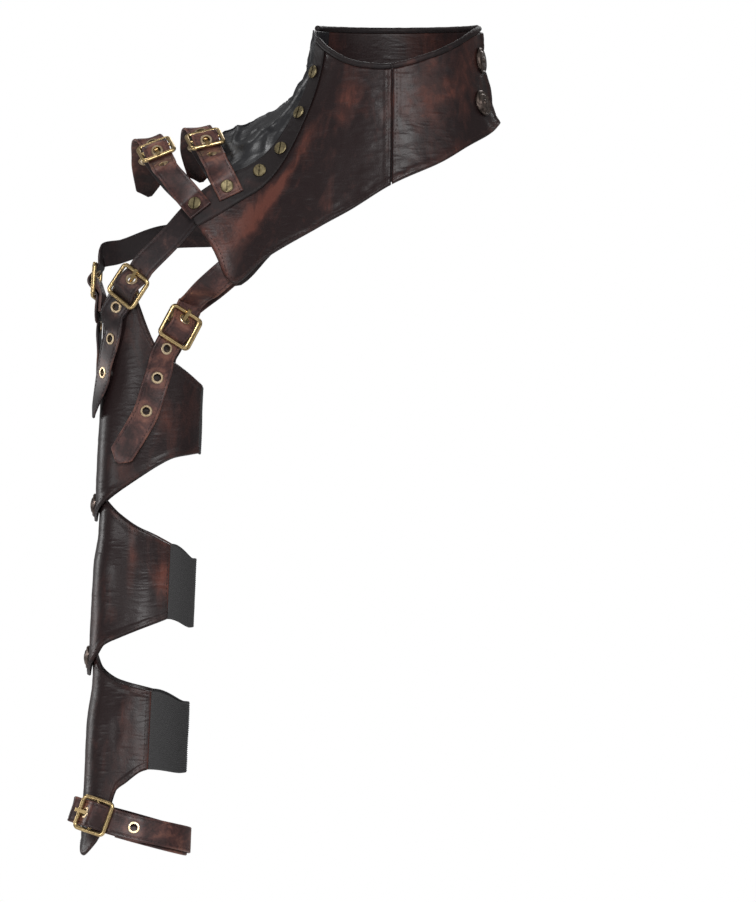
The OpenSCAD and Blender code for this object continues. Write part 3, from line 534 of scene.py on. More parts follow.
def raised_seam(d):
    """Height of the doubled leather beside a seam, with its stitched groove."""
    return 0.35 * (1 - smooth((d - 5.0) / 1.2)) - 0.35 * bell(d - SEAM_LINE, 0.5)


def make_yoke():
    vv, phi = yoke_grid(lambda t: np.full_like(t, YOKE_START), edge_phi, 1.7)
    p, n = yoke_point(phi, vv), yoke_normal(phi, vv)
    seam, _, _, low = edge_distances(p)
    strip = band_phi(-0.15, vv)
    under_strip = smooth((phi - strip) / 1.5)
    bump = (rumple(p, 2.0, 21.0) + hem(low) + puckers(p, low, 61.0)) * (1 - under_strip) + raised_seam(seam)
    bump = mix(bump, np.minimum(bump, 0.1), under_strip)
    # rubbed beside the strip, most towards the shoulder, on the collar and along the hem
    beside = np.radians(strip - phi) * np.hypot(p[..., 0], p[..., 1])
    band = (0.42 + 0.2 * smooth((vv - 0.55) / 0.15) - 0.3 * smooth((vv - 0.86) / 0.1))
    wear = band * (bell(beside - 7, 7) * smooth((vv - 0.3) / 0.25)) + 0.26 * spot(phi - 118, 9, vv - 0.3, 0.16)
    wear = wear + 0.2 * bell(low - 3, 2.5) + 0.08 * creases(p, 5.0, (1, 1, 1.6))
    wear = np.clip(wear - 0.3 * smooth((beside - 22) / 14) * smooth((vv - 0.4) / 0.2), 0, 1)
    o, out = hide("front_yoke_hide", p, n, 0, LEATHER, M["armour_leather"], "harness", bump, wear=wear)
    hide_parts("front_yoke")
    line = [(i, nearest(low[i], HEM_LINE)) for i in range(len(low))]
    at = rows_and_columns([(i, j) for i, j in line if phi[i, j] < band_phi(-0.2, vv[i, j])])
    stitches("front_yoke_hem_stitch", out[at], n[at], HEM_STITCH, "harness")
    k = nearest(seam[:, 5], SEAM_LINE)
    stitches("front_yoke_seam_stitch", out[k], n[k], SEAM_STITCH, "harness")


def make_flap():
    vv, phi = yoke_grid(lambda t: np.full_like(t, FLAP_START), lambda t: np.full_like(t, FLAP_END), 1.7)
    p, n = yoke_point(phi, vv), yoke_normal(phi, vv)
    end, seam, _, low = edge_distances(p)
    bump = rumple(p, 4.0, 23.0) + np.maximum(hem(low), hem(end))
    bump += puckers(p, low, 62.0) + puckers(p, end, 63.0)
    # the free end curls out in waves
    bump += 1.8 * (0.5 + 0.5 * np.sin(13.0 * vv + 0.4)) * bell(end, 9)
    bump += raised_seam(seam)
    level = np.zeros_like(bump)
    for a, t in SNAPS:
        r = np.linalg.norm(p - yoke_point(a, t), axis=-1)
        level = np.maximum(level, 1 - smooth((r - 9.5) / 4))
    bump = mix(bump, np.minimum(bump, 0), level)
    wear = 0.18 * bell(low - 3, 3) + 0.18 * spot(phi - 70, 14, vv - 0.45, 0.2) + 0.08 * creases(p, 9.0, (1, 1, 1.6))
    o, out = hide("collar_flap_hide", p, n, 0, LEATHER, M["armour_leather"], "flap", bump, wear=np.clip(wear, 0, 1))
    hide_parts("collar_flap")
    rows, cols = end.shape
    for name, line in (("low", [(i, nearest(low[i], HEM_LINE)) for i in range(4, rows - 3)]),
                       ("end", [(nearest(end[:, j], HEM_LINE), j) for j in range(3, cols - 4)]),
                       ("seam", [(nearest(seam[:, j], SEAM_LINE), j) for j in range(2, cols - 3)])):
        at = rows_and_columns(line)
        stitches(f"collar_flap_{name}_stitch", out[at], n[at], HEM_STITCH, "flap")


def make_back():
    vv, phi = yoke_grid(lambda t: 360 - edge_phi(t), lambda t: np.full_like(t, 392.0), 2.0)
    # its far end steps in under the flap, past 360 degrees
    under = smooth((phi - 348) / 14)
    down = mix(0.05 * under, 1 - 0.07 * np.maximum(under, smooth((phi - 212) / 12)), vv)
    real = np.where(phi > 360, phi - 360, phi)
    p, n = yoke_point(real, down), yoke_normal(real, down)
    top = -(LEATHER + 0.8) * under
    low = edge_distances(p)[3]
    under_strip = smooth(((360 - phi) - band_phi(-0.15, vv)) / 1.5)
    bump = (0.35 * fbm(p, 30.0, 3, 7.0) + hem(low)) * (1 - under_strip) * (1 - under)
    wear = np.clip(0.2 * bell(low - 3, 3) + 0.25 * fbm(p, 60.0, 2, 3.0), 0, 1)
    o, _ = hide("back_yoke_hide", p + n * top[..., None], n, 0, LEATHER, M["armour_leather"], "harness", bump,
                wear=wear)
    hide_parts("back_yoke")


def ridges(p, size, seed, narrow, power):
    """Sharp ridges from 0 to 1 with flat facets between them."""
    return np.clip(1 - np.abs(fbm(p, size, 2, seed)) * narrow, 0, 1) ** power


def make_shoulder():
    """The soft panel: both ends lie under the strips, and the bridge between them is free."""
    bridge, under = 130, np.linspace(0, 1, 14)
    v = steps(85, 1.1, 0.7) * 0.8
    front, back = band_phi(1.0, v), 360 - band_phi(1.0, v)
    rows = [(band_phi(q, v), v) for q in under]
    for i in range(1, bridge):
        rows.append((mix(front, back, i / bridge), v * (1 + 0.25 * math.sin(math.pi * (i / bridge)))))
    rows += [(360 - band_phi(q, v), v) for q in under[::-1]]
    phi, tt = np.array([r[0] for r in rows]), np.array([r[1] for r in rows])
    p, n = yoke_point(phi, tt), yoke_normal(phi, tt)
    w = np.clip((np.arange(len(rows)) - len(under) + 1) / bridge, 0, 1)[:, None]
    free = smooth(w / 0.06) * smooth((1 - w) / 0.06)
    # folds run down the panel, deepest at the rise of the collar
    a = np.linspace(0, 1, len(rows))[:, None] * 30
    down = tt * 5
    folds = np.sin(a * 1.9 + 2.2 * np.sin(down * 0.9) + 0.8) * 0.9 + np.sin(a * 4.3 - down * 1.7) * 0.45
    rough = fbm(p * np.array([1, 1, 0.6]), 26.0, 2, 11.0)
    large, small = ridges(p * np.array([1, 1, 0.7]), 34.0, 3.0, 2.8, 2.5), ridges(p, 12.0, 17.0, 2.6, 3)
    bump = free * (folds * smooth((0.75 - tt) / 0.5) * 0.7 + rough * 0.9 + 2.3 * large + 0.45 * small - 0.4)
    bump = np.clip(bump, -2.6, 2.8) * smooth(np.minimum.reduce(edge_distances(p)) / 5)
    o, _ = hide("shoulder_panel_hide", p, n, -LEATHER - GAP, SOFT, M["soft_black"], "harness", bump, bump,
                wear=np.clip(0.35 * rough, 0, 1))
    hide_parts("shoulder_panel")


def make_strip(back):
    v = steps(150, 1.8, 0.5)
    phi = np.array([band_phi(q, v) for q in np.linspace(0, 1, 16)])
    if back:
        phi = (360 - phi)[::-1]
    tt = np.broadcast_to(v, phi.shape)
    p, n = yoke_point(phi, tt), yoke_normal(phi, tt)
    name = "back_strip" if back else "front_strip"
    o, _ = hide(name + "_hide", p, n, GAP + STRIP_UP, STRIP_T, M["trim_leather"], "harness",
                0.12 * fbm(p, 9.0, 2, 1.0), wear=np.clip(0.3 * fbm(p, 20.0, 2, 6.0), 0, 1))
    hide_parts(name)


def tube(name, path, radius, material, body, sides=12):
    path = np.asarray(path, float)
    d = unit(np.gradient(path, axis=0))
    side = unit(np.cross(d, [0, 0, 1]))
    up = np.cross(side, d)
    a = np.radians(np.arange(sides) * 360 / sides)
    spokes = np.cos(a)[None, :, None] * side[:, None] + np.sin(a)[None, :, None] * up[:, None]
    ring = path[:, None] + radius[:, None, None] * spokes
    verts = np.concatenate([ring.reshape(-1, 3), path[[0, -1]]])
    faces = grid_faces(len(path), sides, 0, False, True)
    m = len(path) * sides
    faces += [[(j + 1) % sides, j, m] for j in range(sides)]
    faces += [[m - sides + j, m - sides + (j + 1) % sides, m + 1] for j in range(sides)]
    return mesh_object(name, verts, faces, material, body, np.clip(0.3 * fbm(verts, 15.0, 2, 4.0), 0, 1))


def make_bindings():
    for name, node_name, a, b, body in (("collar_binding_front", "collar_binding", 92.5, 156, "harness"),
                                        ("collar_binding_back", "collar_binding", 202, 348, "harness"),
                                        ("flap_binding_roll", "flap_binding", 6, 91.5, "flap")):
        phi = np.linspace(a, b, int((b - a) * 1.3))
        rim = np.zeros_like(phi)
        p = yoke_point(phi, rim) - yoke_normal(phi, rim) * LEATHER / 2 + [0, 0, BINDING_UP]
        r = BINDING_R + 0.18 * fbm(p, 6.0, 2, 8.0)
        r[[0, -1]] = BINDING_END_R
        o = tube(name, p, r, M["trim_leather"], body)
        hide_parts(node_name)


make_yoke()
make_flap()
make_back()
make_shoulder()
make_strip(False)
make_strip(True)
make_bindings()


# Sleeve plates and elastic bands
# Edges of the plates: angle from the inner side, and height
UPPER_TOP = [[15, -197], [35, -191], [60, -181], [78, -173], [90, -164], [100, -150], [112, -131], [122, -120],
             [135, -117], [150, -124], [165, -131], [180, -133]]
UPPER_LOW = [[15, -249], [40, -250.5], [63, -253], [80, -258.5], [97, -266], [117, -276], [137, -287], [160, -297],
             [180, -302]]
ELBOW_TOP = [[60, -319], [82, -311.5], [101, -305.5], [121, -296.5], [137, -287], [155, -279], [180, -276]]
ELBOW_LOW = [[60, -376], [90, -383.5], [114, -390.5], [130, -396.5], [141, -406], [160, -415], [180, -420]]
FOREARM_TOP = [[75, -431], [90, -428.5], [105, -425.8], [120, -422], [136, -414], [146, -406], [160, -398], [180, -394]]
FOREARM_LOW = [[75, -490.5], [85, -493], [99, -500.5], [111, -508], [116, -520], [120, -533], [128, -546], [145, -556],
               [160, -553], [180, -546]]
FOREARM_R = SLEEVE_R - 0.5
ELASTIC, RIBS, TUCKED_IN = 1.6, 34, 1.6


def tuck(m, z, pivot):
    """How far a lower plate steps in under its neighbour, on the outer side."""
    return smooth((m - 96) / 26) * (1 - smooth((pivot - 20 - z) / 30))


# Each plate: angle of its seams, top and lower edge, radius, body, and the heights of its web's edges
PLATES = {
    "upper": (18, UPPER_TOP, UPPER_LOW, lambda m, z: SLEEVE_R + 0 * z, "harness", (-198, -250)),
    "elbow": (60, ELBOW_TOP, ELBOW_LOW, lambda m, z: SLEEVE_R - STEP * tuck(m, z, UPPER_PIVOT), "elbow",
              (-330, -383)),
    "forearm": (75, FOREARM_TOP, FOREARM_LOW, lambda m, z: FOREARM_R - (STEP - 0.5) * tuck(m, z, LOWER_PIVOT),
                "forearm", (-440, -494))}
# Rubbed patches on each plate: angle, height, half width in degrees, half height in mm, strength
RUBBED = {"upper": [(72, -222, 10, 18, 0.16), (118, -240, 10, 26, 0.16), (150, -180, 16, 30, 0.05)],
          "elbow": [(104, -330, 6, 22, 0.3), (68, -345, 12, 30, 0.55), (128, -350, 9, 40, 0.15)],
          "forearm": [(84, -468, 8, 22, 0.12), (104, -450, 8, 26, 0.2), (140, -480, 12, 40, 0.1)]}


def make_plate(key, seed):
    seam, top, low, radius, body, _ = PLATES[key]
    around = math.radians(360 - 2 * seam) * 41
    u, v = steps(around, 1.7), steps(95, 1.6)
    a, vv = np.meshgrid(mix(seam, 360 - seam, u), v, indexing="ij")
    m = np.where(a > 180, 360 - a, a)
    z = mix(curve(top, m)[..., 1], curve(low, m)[..., 1], vv)
    r = radius(m, z)
    p, n = sleeve_point(a, z, r), sleeve_normal(a, z, r)
    da, db, dt, dl = edge_distances(p)
    edge, side = np.minimum(dt, dl), np.minimum(da, db)
    bump = 0.5 * fbm(p * np.array([1, 1, 0.6]), 24.0, 3, seed) + 0.12 * fbm(p * np.array([0.25, 0.25, 1]), 3.0, 2, seed)
    if key == "forearm":
        # the forearm's leather is dented by wear
        bump = bump - 1.1 * np.clip(fbm(p * np.array([1, 1, 0.45]), 17.0, 2, 51.0), 0, 1) * smooth((m - 84) / 10)
    bump = bump + hem(edge) + 0.3 * (1 - smooth((side - 5) / 1.5))
    # the leather lies level under the rivets' caps and washers
    for q in [q for q in (UPPER_PIVOT, LOWER_PIVOT) if z.min() < q < z.max()]:
        dist = np.hypot((p[..., 1] - arm_depth(q)), (z - q))
        bump = mix(bump, np.minimum(bump, 0.0), (1 - smooth((dist - 8.5) / 5)) * (m > 120))
    # where a neighbour lies over this plate, its surface stays low
    if key != "upper":
        over = smooth((z - (UPPER_PIVOT if key == "elbow" else LOWER_PIVOT) + 26) / 8)
        bump = mix(bump, np.clip(bump, -0.3, 0.3), over)
    cloudy = 0.08 if key == "upper" else 0.2
    wear = cloudy * np.clip(fbm(p, 38.0, 2, seed + 3) - 0.05, 0, 1)
    wear = wear + 0.2 * bell(edge - 2.5, 2.0) * (0.5 + fbm(p, 14.0, 2, seed))
    for angle, high, wide, tall, strong in RUBBED[key]:
        wear = wear + strong * spot(m - angle, wide, z - high, tall)
    wear = np.clip(wear + 0.45 * bell(side, 0.9), 0, 1)
    o, out = hide(key + "_plate_hide", p, n, 0, LEATHER, M["armour_leather"], body, bump, wear=wear)
    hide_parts(key + "_plate")
    for name, dist in (("top", dt), ("low", dl)):
        at = rows_and_columns([(i, nearest(dist[i], HEM_LINE)) for i in range(5, len(u) - 5)])
        stitches(f"{key}_plate_{name}_stitch", out[at], n[at], PLATE_STITCH, body)
    for name, dist in (("a", da), ("b", db)):
        i = nearest(dist[:, 8], SEAM_LINE)
        stitches(f"{key}_plate_seam_{name}_stitch", out[i, 5:-5], n[i, 5:-5], PLATE_STITCH, body)


def make_elastic(key, seed):
    """A ribbed elastic web, stretched between the seams: its ribs run around the arm."""
    seam, top, low, radius, body, inner = PLATES[key]
    cols, rows = 57, RIBS * 5 + 1
    a = np.linspace(-seam - TUCKED_IN, seam + TUCKED_IN, cols)
    u = smooth((1 - np.minimum(np.abs(a) / seam, 1)) * 1.5)
    zt = mix(curve(top, seam)[..., 1] * np.ones_like(a), inner[0], u)
    zl = mix(curve(low, seam)[..., 1] * np.ones_like(a), inner[1], u)
    aa = np.broadcast_to(a[:, None], (cols, rows))
    z = mix(zt[:, None], zl[:, None], np.linspace(0, 1, rows)[None])
    r = radius(np.abs(aa), z)
    p, n = sleeve_point(aa, z, r), sleeve_normal(aa, z, r)
    rib = (0.32 if key == "forearm" else 0.12) * np.cos(np.arange(rows)[None] * (2 * math.pi / 5)) + 0 * z
    bump = rib - 0.1 + 0.25 * fbm(p, 18.0, 2, seed)
    o, _ = hide(key + "_elastic_web", p, n, -(LEATHER - ELASTIC) / 2, ELASTIC, M["elastic_web"], body, bump, rib)
    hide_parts(key + "_elastic")
    return o, float(along(p, 0)[-1, 0]), float(along(p, 1)[cols // 2, -1])


for key, seed in (("upper", 20.0), ("elbow", 31.0), ("forearm", 43.0)):
    make_plate(key, seed)
    web, wide, tall = make_elastic(key, seed + 5)


# Straps: the same stations as the CAD's, joined by smooth curves
# Half of a buckle's length, radius of its wire and pin, a tab's thickness, and a tongue's fit and thickness
HALF, WIRE, PIN, TAB_T, FIT, TONGUE_T = 12.5, 1.7, 1.5, 1.2, 0.06, 1.6
EYE_R, EYE_FLANGE, EYE_FLANGE_T = 3.0, 4.7, 0.45
# How far the middle of a strap runs under the frame's ends and over its bar, and the angle between
UNDER = WIRE + STRAP / 2 + 0.15
TAB_R = PIN + 0.1 + TAB_T
OVER = max(TAB_R, PIN + FIT + TONGUE_T) + EYE_FLANGE_T + STRAP / 2 + 0.15
RISE = math.asin((UNDER + OVER) / HALF)
TAB_TOP = -UNDER - STRAP / 2 - EYE_FLANGE_T - 0.1
TAB_LOW = TAB_TOP - 2 * TAB_T
# Heights over the sleeve of a buckle's centre and of a strap's tail
SEAT = -TAB_LOW + 0.3
LAY = STRAP / 2 + 1.2
STITCHED_UP = STRAP / 2 - 0.22
WRIST = 6
DARK_STRAPS = (2, 4)
# Clearances of the straps over the strip and under the yoke
STRIP_SEAT, YOKE_CLEAR, ARM_STRAP_DROP = 0.25, 0.2, 1.4
# The tongue's eyelet, on the slope beside the bar
SLOPE_EYE = np.array([-HALF + UNDER * math.sin(RISE), -UNDER * math.cos(RISE)])
SLOPE_EYE = SLOPE_EYE + (EYE_FLANGE + 1.1) * np.array([math.cos(RISE), math.sin(RISE)])


def ortho(n, u):
    n, u = np.asarray(n, float), np.asarray(u, float)
    return unit(u - n * np.dot(u, n))


def buckle_frame(p, u, n):
    """Frame of a buckle: its centre, the way the strap runs, and outwards."""
    z = unit(n)
    return np.array(p, float), ortho(z, u), z


def place(f, u, n):
    return f[0] + u * f[1] + n * f[2]


def turn(f, u, n):
    return u * f[1] + n * f[2]


def on_sleeve(a, z, d, b, r=SLEEVE_R):
    """Frame at distance d over the sleeve, turned by b degrees from straight down."""
    n = sleeve_normal(a, z, r)
    down = ortho(n, [0, 0, -1])
    side = np.cross(n, down)
    b = math.radians(b)
    return sleeve_point(a, z, r) + d * n, math.cos(b) * down - math.sin(b) * side, n


def behind(f):
    """The same frame mirrored to the arm's other side."""
    m = np.array([1, -1, 1])
    return f[0] * m + [0, 2 * ARM_Y, 0], f[1] * m, f[2] * m


def under_yoke(phi, t, d=0.0):
    n = yoke_normal(phi, t)
    return yoke_point(phi, t) + n * (-LEATHER - GAP - STRAP / 2 - YOKE_CLEAR - d), n, 1


def on_screw(t, s, to):
    """Station on the strip's screw at share t, s mm along the way to a point."""
    phi = screw_phi(t)
    n = yoke_normal(phi, t)
    p = yoke_point(phi, t) + n * (GAP + STRIP_T + STRIP_SEAT + STRAP / 2)
    return p + s * ortho(n, to - p), n, 1


def under_screw(t, s, to):
    p, n, w = on_screw(t, s, to)
    return p - n * (2 * GAP + STRIP_T + STRIP_SEAT + ARM_STRAP_DROP + STRAP + LEATHER), n, w


def flat(f):
    return [(place(f, u, 0), f[2], 1) for u in (-5.5, 5.5)]


def hump(f, flat_l=13):
    """Stations of a strap through a buckle: under the frame, over the bar and under the frame again."""
    out = [(place(f, u, -UNDER), f[2], 1) for u in (-HALF - 8, -HALF - 2)]
    for q in (0, 0.5, 1):
        b = q * RISE
        out.append((place(f, -HALF + UNDER * math.sin(b), -UNDER * math.cos(b)), turn(f, -math.sin(b), math.cos(b)), 1))
    for q in (-1, -0.5, 0, 0.5, 1):
        b = q * RISE
        out.append((place(f, OVER * math.sin(b), OVER * math.cos(b)), turn(f, math.sin(b), math.cos(b)), 1))
    for q in (1, 0.5, 0):
        b = q * RISE
        out.append((place(f, HALF - UNDER * math.sin(b), -UNDER * math.cos(b)), turn(f, math.sin(b), math.cos(b)), 1))
    return out + [(place(f, u, -UNDER), f[2], 1) for u in (HALF + 2, HALF + flat_l)]


NAMES = ["shoulder_outer", "shoulder_inner", "front_outer", "front_inner", "back_outer", "back_inner", "wrist"]


def on_wrist(a, z, b):
    return on_sleeve(a, z, SEAT - UNDER, b, FOREARM_R)


# The buckles, in the order of NAMES, and each tail's two eyelets and tip
FRAMES = [buckle_frame([-183.5, -18, -15.5], [-0.25, 0.8, 0.5], [-0.3, -0.45, 0.84]),
          buckle_frame([-146, -18, -7.5], [-0.22, 0.82, 0.5], [-0.15, -0.45, 0.88]),
          on_sleeve(116, -121, SEAT, 36), on_sleeve(65, -151.7, SEAT, 30),
          on_sleeve(190, -117, SEAT, -8),
          behind(on_sleeve(65, -151.7, SEAT, 30)), on_sleeve(127, -527, SEAT, -74, FOREARM_R)]
TAILS = [
    [buckle_frame([-193, 18, -8.5], [-0.15, 1, -0.25], [-0.15, 0.25, 1]),
     buckle_frame([-194, 41, -22], [0, 0.7, -0.7], [-0.2, 0.7, 0.7]),
     buckle_frame([-190, 57, -50], [0.15, 0.35, -0.9], [-0.3, 0.9, 0.3])],
    [buckle_frame([-154.5, 18, 0], [-0.15, 1, -0.2], [-0.05, 0.2, 1]),
     buckle_frame([-156, 39, -12], [0, 0.7, -0.7], [-0.05, 0.7, 0.7]),
     buckle_frame([-150, 53, -39], [0.15, 0.35, -0.9], [-0.1, 0.9, 0.35])],
    [on_sleeve(140, -161, LAY + 0.2, 20), on_sleeve(149, -187, LAY + 1.3, 16), on_sleeve(160, -222, LAY + 2.6, 16)],
    [on_sleeve(84, -191, LAY, 18), on_sleeve(94, -216.5, LAY, 22), on_sleeve(122, -256, LAY + 0.8, 34)],
    [on_sleeve(187, -152, LAY + 1, -4), on_sleeve(184, -178, LAY, -4), on_sleeve(181, -209, LAY, -4)],
    [behind(on_sleeve(84, -191, LAY, 18)), behind(on_sleeve(94, -216.5, LAY, 22)),
     behind(on_sleeve(122, -256, LAY + 0.8, 34))],
    [on_wrist(88, -535.6, -77), on_wrist(-34, -545.5, -94), on_wrist(-64, -543.3, -96)]]
# The free eyelet of each shoulder strap, ahead of its buckle
EYE_1, EYE_2 = [(place(f, -HALF - 14, -UNDER), f[1], f[2]) for f in FRAMES[:2]]


def wrist_round():
    out = []
    for a in np.arange(105, -192.1, -9.9):
        x = arm_x(-540) + SLEEVE_R * math.cos(math.radians(a))
        f = on_sleeve(a, -527 - 0.286 * (x + 232), SEAT + (TAB_TOP + TAB_LOW) / 2, -90, FOREARM_R)
        out.append((f[0], f[2], 1))
    return out


def station(p, n):
    return np.array(p, float), unit(n), 1


# Where each strap starts, up to its buckle
LEADS = [
    [on_screw(0.975, s, EYE_1[0]) for s in (-8, 0, 8)] + flat(EYE_1),
    [on_screw(0.85, s, EYE_2[0]) for s in (-8, 0, 8)] + flat(EYE_2),
    [under_screw(0.975, s, np.array([-192, -33, -104])) for s in (-7, 0, 7)]
    + [station([-172, -39.5, -84], [-0.4, -0.9, 0.15])],
    [under_yoke(152, 0.92), station([-138, -56, -118], [0.1, -0.95, 0])],
    [under_yoke(201, 0.96, STRAP + 0.8), station([-180, 46, -82], [-0.4, 0.85, 0.3]),
     station([-212, 36, -93], [-0.75, 0.6, 0.25])],
    [under_yoke(208, 0.92, 1.1), station([-139, 56, -119], [0.1, 0.95, 0])],
    wrist_round()]
WRIST_TURN = [station(f[0], f[2]) for f in (on_wrist(*r) for r in (
    (68, -538.5, -80), (50, -541, -83), (33, -543, -86), (16, -544.5, -89), (0, -545.5, -91), (-16, -545.7, -93)))]


def strap_eyes(k):
    """Centre and direction of each eyelet of a strap."""
    f = FRAMES[k]
    near = HALF + WIRE + EYE_FLANGE + 0.6
    eyes = [(place(f, *SLOPE_EYE), turn(f, -math.sin(RISE), math.cos(RISE)))]
    if k != WRIST:
        eyes.append((place(f, near, -UNDER), f[2]))
    rest = TAILS[k][:2] + ([EYE_1] if k == 0 else [EYE_2] if k == 1 else [])
    return eyes + [(g[0], g[2]) for g in rest]


def ribbon(stations):
    """Smooth strip through stations: centre points, side and up directions, width share, way along."""
    p = np.array([s[0] for s in stations], float)
    n = np.array([s[1] for s in stations], float)
    w = np.array([s[2] for s in stations], float)
    way = travelled(p)
    s = steps(way[-1], 1.4, 1.0) * way[-1]
    c = curve(np.concatenate([way[:, None], p], 1), s)[..., 1:]
    d = unit(np.gradient(c, s, axis=0))
    up = unit(curve(np.concatenate([way[:, None], n], 1), s)[..., 1:])
    side = unit(np.cross(d, up))
    up = np.cross(side, d)
    share = np.interp(s, way, w)
    return c, side, up, share, s


def make_strap(k):
    name = NAMES[k]
    tip = TAILS[k][2]
    stations = LEADS[k] + hump(FRAMES[k], 3 if k == WRIST else 13) + flat(TAILS[k][0])
    stations += (WRIST_TURN if k == WRIST else []) + flat(TAILS[k][1])
    stations += [(place(tip, -7, 0), tip[2], 1), (place(tip, 0, 0), tip[2], 0.16)]
    c, side, up, share, s = ribbon(stations)
    v = steps(STRAP_W, 1.2, 1.0) * 2 - 1
    half = STRAP_W / 2 * share[:, None] * v[None]
    p = c[:, None] + side[:, None] * half[..., None]
    n = np.broadcast_to(up[:, None], p.shape)
    edge = STRAP_W / 2 * share[:, None] - np.abs(half)
    end = np.minimum(s, (s[-1] - s))[:, None]
    near = np.minimum.reduce([np.linalg.norm(p - e, axis=-1) for e, _ in strap_eyes(k)])
    line = np.minimum(edge, end + 0 * edge)
    bump = -0.28 * bell(line - STRAP_LINE, 0.45) + 0.12 * fbm(p, 14.0, 2, 50.0 + k)
    bump = np.minimum(bump, mix(-0.05, bump, smooth((near - 5) / 1.5)))
    soft = fbm(p, 22.0, 3, 60.0 + k)
    wear = np.clip(0.18 * bell(edge, 1.0) + 0.25 * np.clip(soft, 0, 1) + 0.25 * bell(near - 6.5, 3.0), 0, 1)
    body = "forearm" if k == WRIST else "harness"
    material = M["dark_strap" if k in DARK_STRAPS else "strap_leather"]
    o, _ = hide(name + "_strap_hide", p, n, STRAP / 2, STRAP, material, body, bump, wear=wear)
    pierce(o, strap_eyes(k), EYE_R + 0.55)
    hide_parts(name + "_strap")
    for sign, tag in ((-1, "left"), (1, "right")):
        keep = share > 0.95
        q = c[keep] + side[keep] * (sign * (STRAP_W / 2 - STRAP_LINE)) + up[keep] * STITCHED_UP
        stitches(f"{name}_strap_{tag}_stitch", q, up[keep], STRAP_STITCH, body)


# The shoulder tabs run on over the shoulder and under the back yoke
TAB_END = [[station([-189, 8.5, -11.5], [-0.3, -0.1, 1]), station([-190, 16, -13.5], [-0.15, 0.3, 1]),
            station([-186, 30, -22], [0, 0.6, 0.8]), station([-173, 38, -38], [0, 0.95, 0.3]),
            station([-157, 35, -54.5], [-0.25, 0.88, 0.4]), under_yoke(197.5, 0.98, 1.7)],
           [station([-152, 8.5, -3], [-0.12, -0.05, 1]), station([-153, 16, -5], [0, 0.25, 1]),
            station([-150, 30, -12], [0, 0.5, 0.86]), station([-141, 38.5, -26], [0, 0.95, 0.3]),
            under_yoke(197, 0.86, 2.8), under_yoke(199.4, 0.9, 2.6)]]
# A tab's width, the slot for the tongue in it, and the bore for the pin
TAB_W, SLOT, BORE_R = STRAP_W - 1, 3.8, PIN + 0.1
TAIL_W, TAIL_T = TAB_W - 1, 2 * TAB_T - 0.2


def tab_outline(length):
    """Points round a folded tab seen from the side: round the pin, then back along the strap."""
    knee = np.array([TAB_R * math.sin(RISE) + (TAB_R * math.cos(RISE) - TAB_TOP) / math.tan(RISE), TAB_TOP])
    heel = np.array([HALF - 3, TAB_LOW])
    b = math.atan2(heel[1], heel[0]) - math.acos(TAB_R / np.linalg.norm(heel))
    arc = np.linspace(math.pi / 2 - RISE, 2 * math.pi + b, 30)
    corners = [TAB_R * np.array([math.cos(a), math.sin(a)]) for a in arc]
    corners += [heel, [length - 0.5, TAB_LOW], [length, TAB_LOW + 0.5], [length, TAB_TOP - 0.5],
                [length - 0.5, TAB_TOP], knee]
    p = np.array(corners + corners[:1])
    way = travelled(p)
    s = np.arange(0, way[-1], 0.6)
    return np.stack([np.interp(s, way, p[:, i]) for i in (0, 1)], -1)


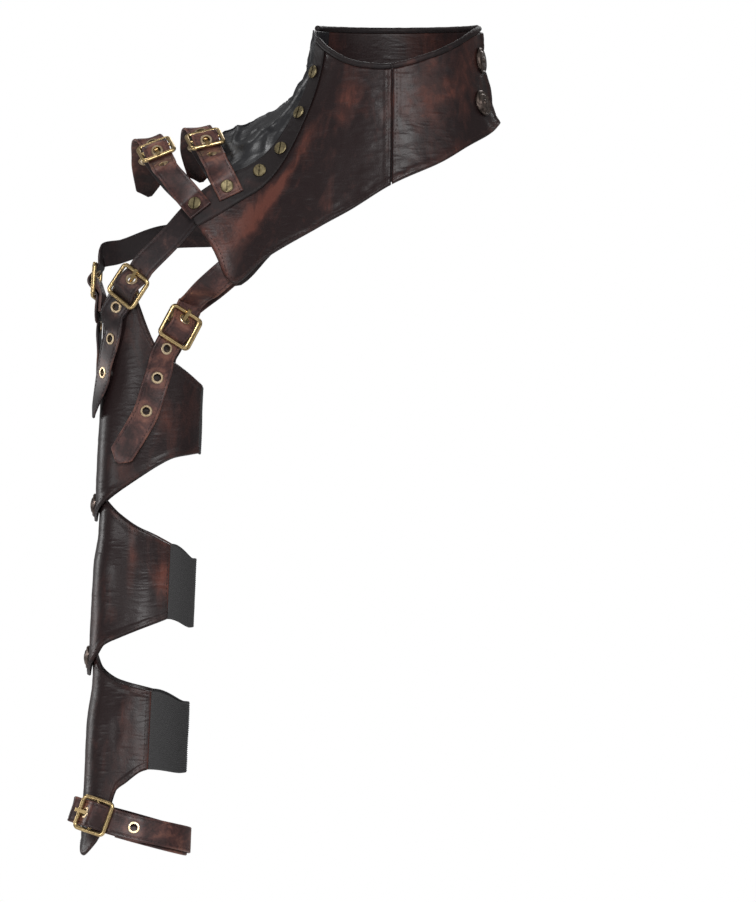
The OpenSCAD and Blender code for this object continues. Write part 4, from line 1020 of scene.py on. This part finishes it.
def make_tab(k):
    """The leather tab that holds a buckle's bar, with its bore for the pin and its slot for the tongue."""
    name, f = NAMES[k] + "_tab", FRAMES[k]
    body = "forearm" if k == WRIST else "harness"
    side = np.cross(f[2], f[1])
    line = tab_outline(HALF + (1.5 if k == WRIST else 12))
    d = np.roll(line, -1, 0) - np.roll(line, 1, 0)
    out = unit(np.stack([d[:, 1], -d[:, 0]], -1))
    v = steps(TAB_W, 1.2, 1.0) * TAB_W - TAB_W / 2
    cut = rounding(TAB_W / 2 - np.abs(v), 0.6)
    q = line[:, None] - out[:, None] * cut[None, :, None]
    p = f[0] + q[..., :1] * f[1] + q[..., 1:] * f[2] + v[None, :, None] * side
    p = p + 0.05 * fbm(p, 5.0, 2, 70.0 + k)[..., None] * (out[:, None, :1] * f[1] + out[:, None, 1:] * f[2])
    rows, cols = p.shape[:2]
    faces = [[i * cols + j, (i + 1) % rows * cols + j, (i + 1) % rows * cols + j + 1, i * cols + j + 1]
             for i in range(rows) for j in range(cols - 1)]
    faces += [[i * cols for i in range(rows)][::-1], [i * cols + cols - 1 for i in range(rows)]]
    wear = np.clip(0.4 * np.exp(-(TAB_W / 2 - np.abs(v)) / 0.8) + 0.15 * fbm(p, 8.0, 2, 80.0 + k), 0, 1)
    o = mesh_object(name + "_hide", p.reshape(-1, 3), faces, M["dark_strap"], body, wear.reshape(-1))
    bore = bmesh.new()
    across = Vector(side).to_track_quat("Z", "Y").to_matrix().to_4x4()
    across.translation = Vector(f[0] / 1000)
    bmesh.ops.create_cone(bore, cap_ends=True, segments=32, radius1=BORE_R / 1000, radius2=BORE_R / 1000,
                          depth=0.04, matrix=across)
    cut_out(o, bore)
    slot = bmesh.new()
    axes = np.stack([f[1], side, f[2]], -1).tolist()
    frame_axes = Matrix([[*row, at] for row, at in zip(axes, (f[0] / 1000).tolist())] + [[0, 0, 0, 1]])
    bmesh.ops.create_cube(slot, size=1.0, matrix=frame_axes @ Matrix.Translation((0.0001, 0, 0))
                          @ Matrix.Diagonal(((2 * TAB_R + 2.2) / 1000, SLOT / 1000, 0.018, 1)))
    cut_out(o, slot)
    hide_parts(name)


def make_tab_tail(k):
    name, f = NAMES[k] + "_tab", FRAMES[k]
    c, across, up, _, _ = ribbon([(place(f, HALF + 10, (TAB_TOP + TAB_LOW) / 2), f[2], 1)] + TAB_END[k])
    v = steps(TAIL_W, 1.2, 1.0) * 2 - 1
    p = c[:, None] + across[:, None] * (TAIL_W / 2 * v)[None, :, None]
    o, _ = hide(name + "_tail_hide", p, np.broadcast_to(up[:, None], p.shape), TAIL_T / 2, TAIL_T, M["dark_strap"],
                "harness", 0.08 * fbm(p, 12.0, 2, 90.0 + k), wear=np.clip(0.3 * fbm(p, 20.0, 2, 95.0 + k), 0, 1))
    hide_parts(name)


def pierce(o, holes, r):
    """Cuts round holes of radius r about each point e along m, in millimetres."""
    bm = bmesh.new()
    for e, m in holes:
        q = Vector(m).to_track_quat("Z", "Y").to_matrix().to_4x4()
        q.translation = Vector(np.asarray(e) / 1000)
        bmesh.ops.create_cone(bm, cap_ends=True, segments=32, radius1=r / 1000, radius2=r / 1000, depth=0.006, matrix=q)
    cut_out(o, bm)


def cut_out(o, bm):
    """Takes the solid in bm out of the piece."""
    mesh = bpy.data.meshes.new("cutter")
    bm.to_mesh(mesh)
    bm.free()
    cutter = bpy.data.objects.new("cutter", mesh)
    bpy.context.scene.collection.objects.link(cutter)
    mod = o.modifiers.new("holes", "BOOLEAN")
    mod.operation, mod.object, mod.solver = "DIFFERENCE", cutter, "EXACT"
    bpy.context.view_layer.update()
    made = bpy.data.meshes.new_from_object(o.evaluated_get(bpy.context.evaluated_depsgraph_get()))
    o.modifiers.clear()
    made.name = o.name
    o.data = made
    bpy.data.objects.remove(cutter)


for k in range(len(NAMES)):
    make_strap(k)
    make_tab(k)
    if k < len(TAB_END):
        make_tab_tail(k)
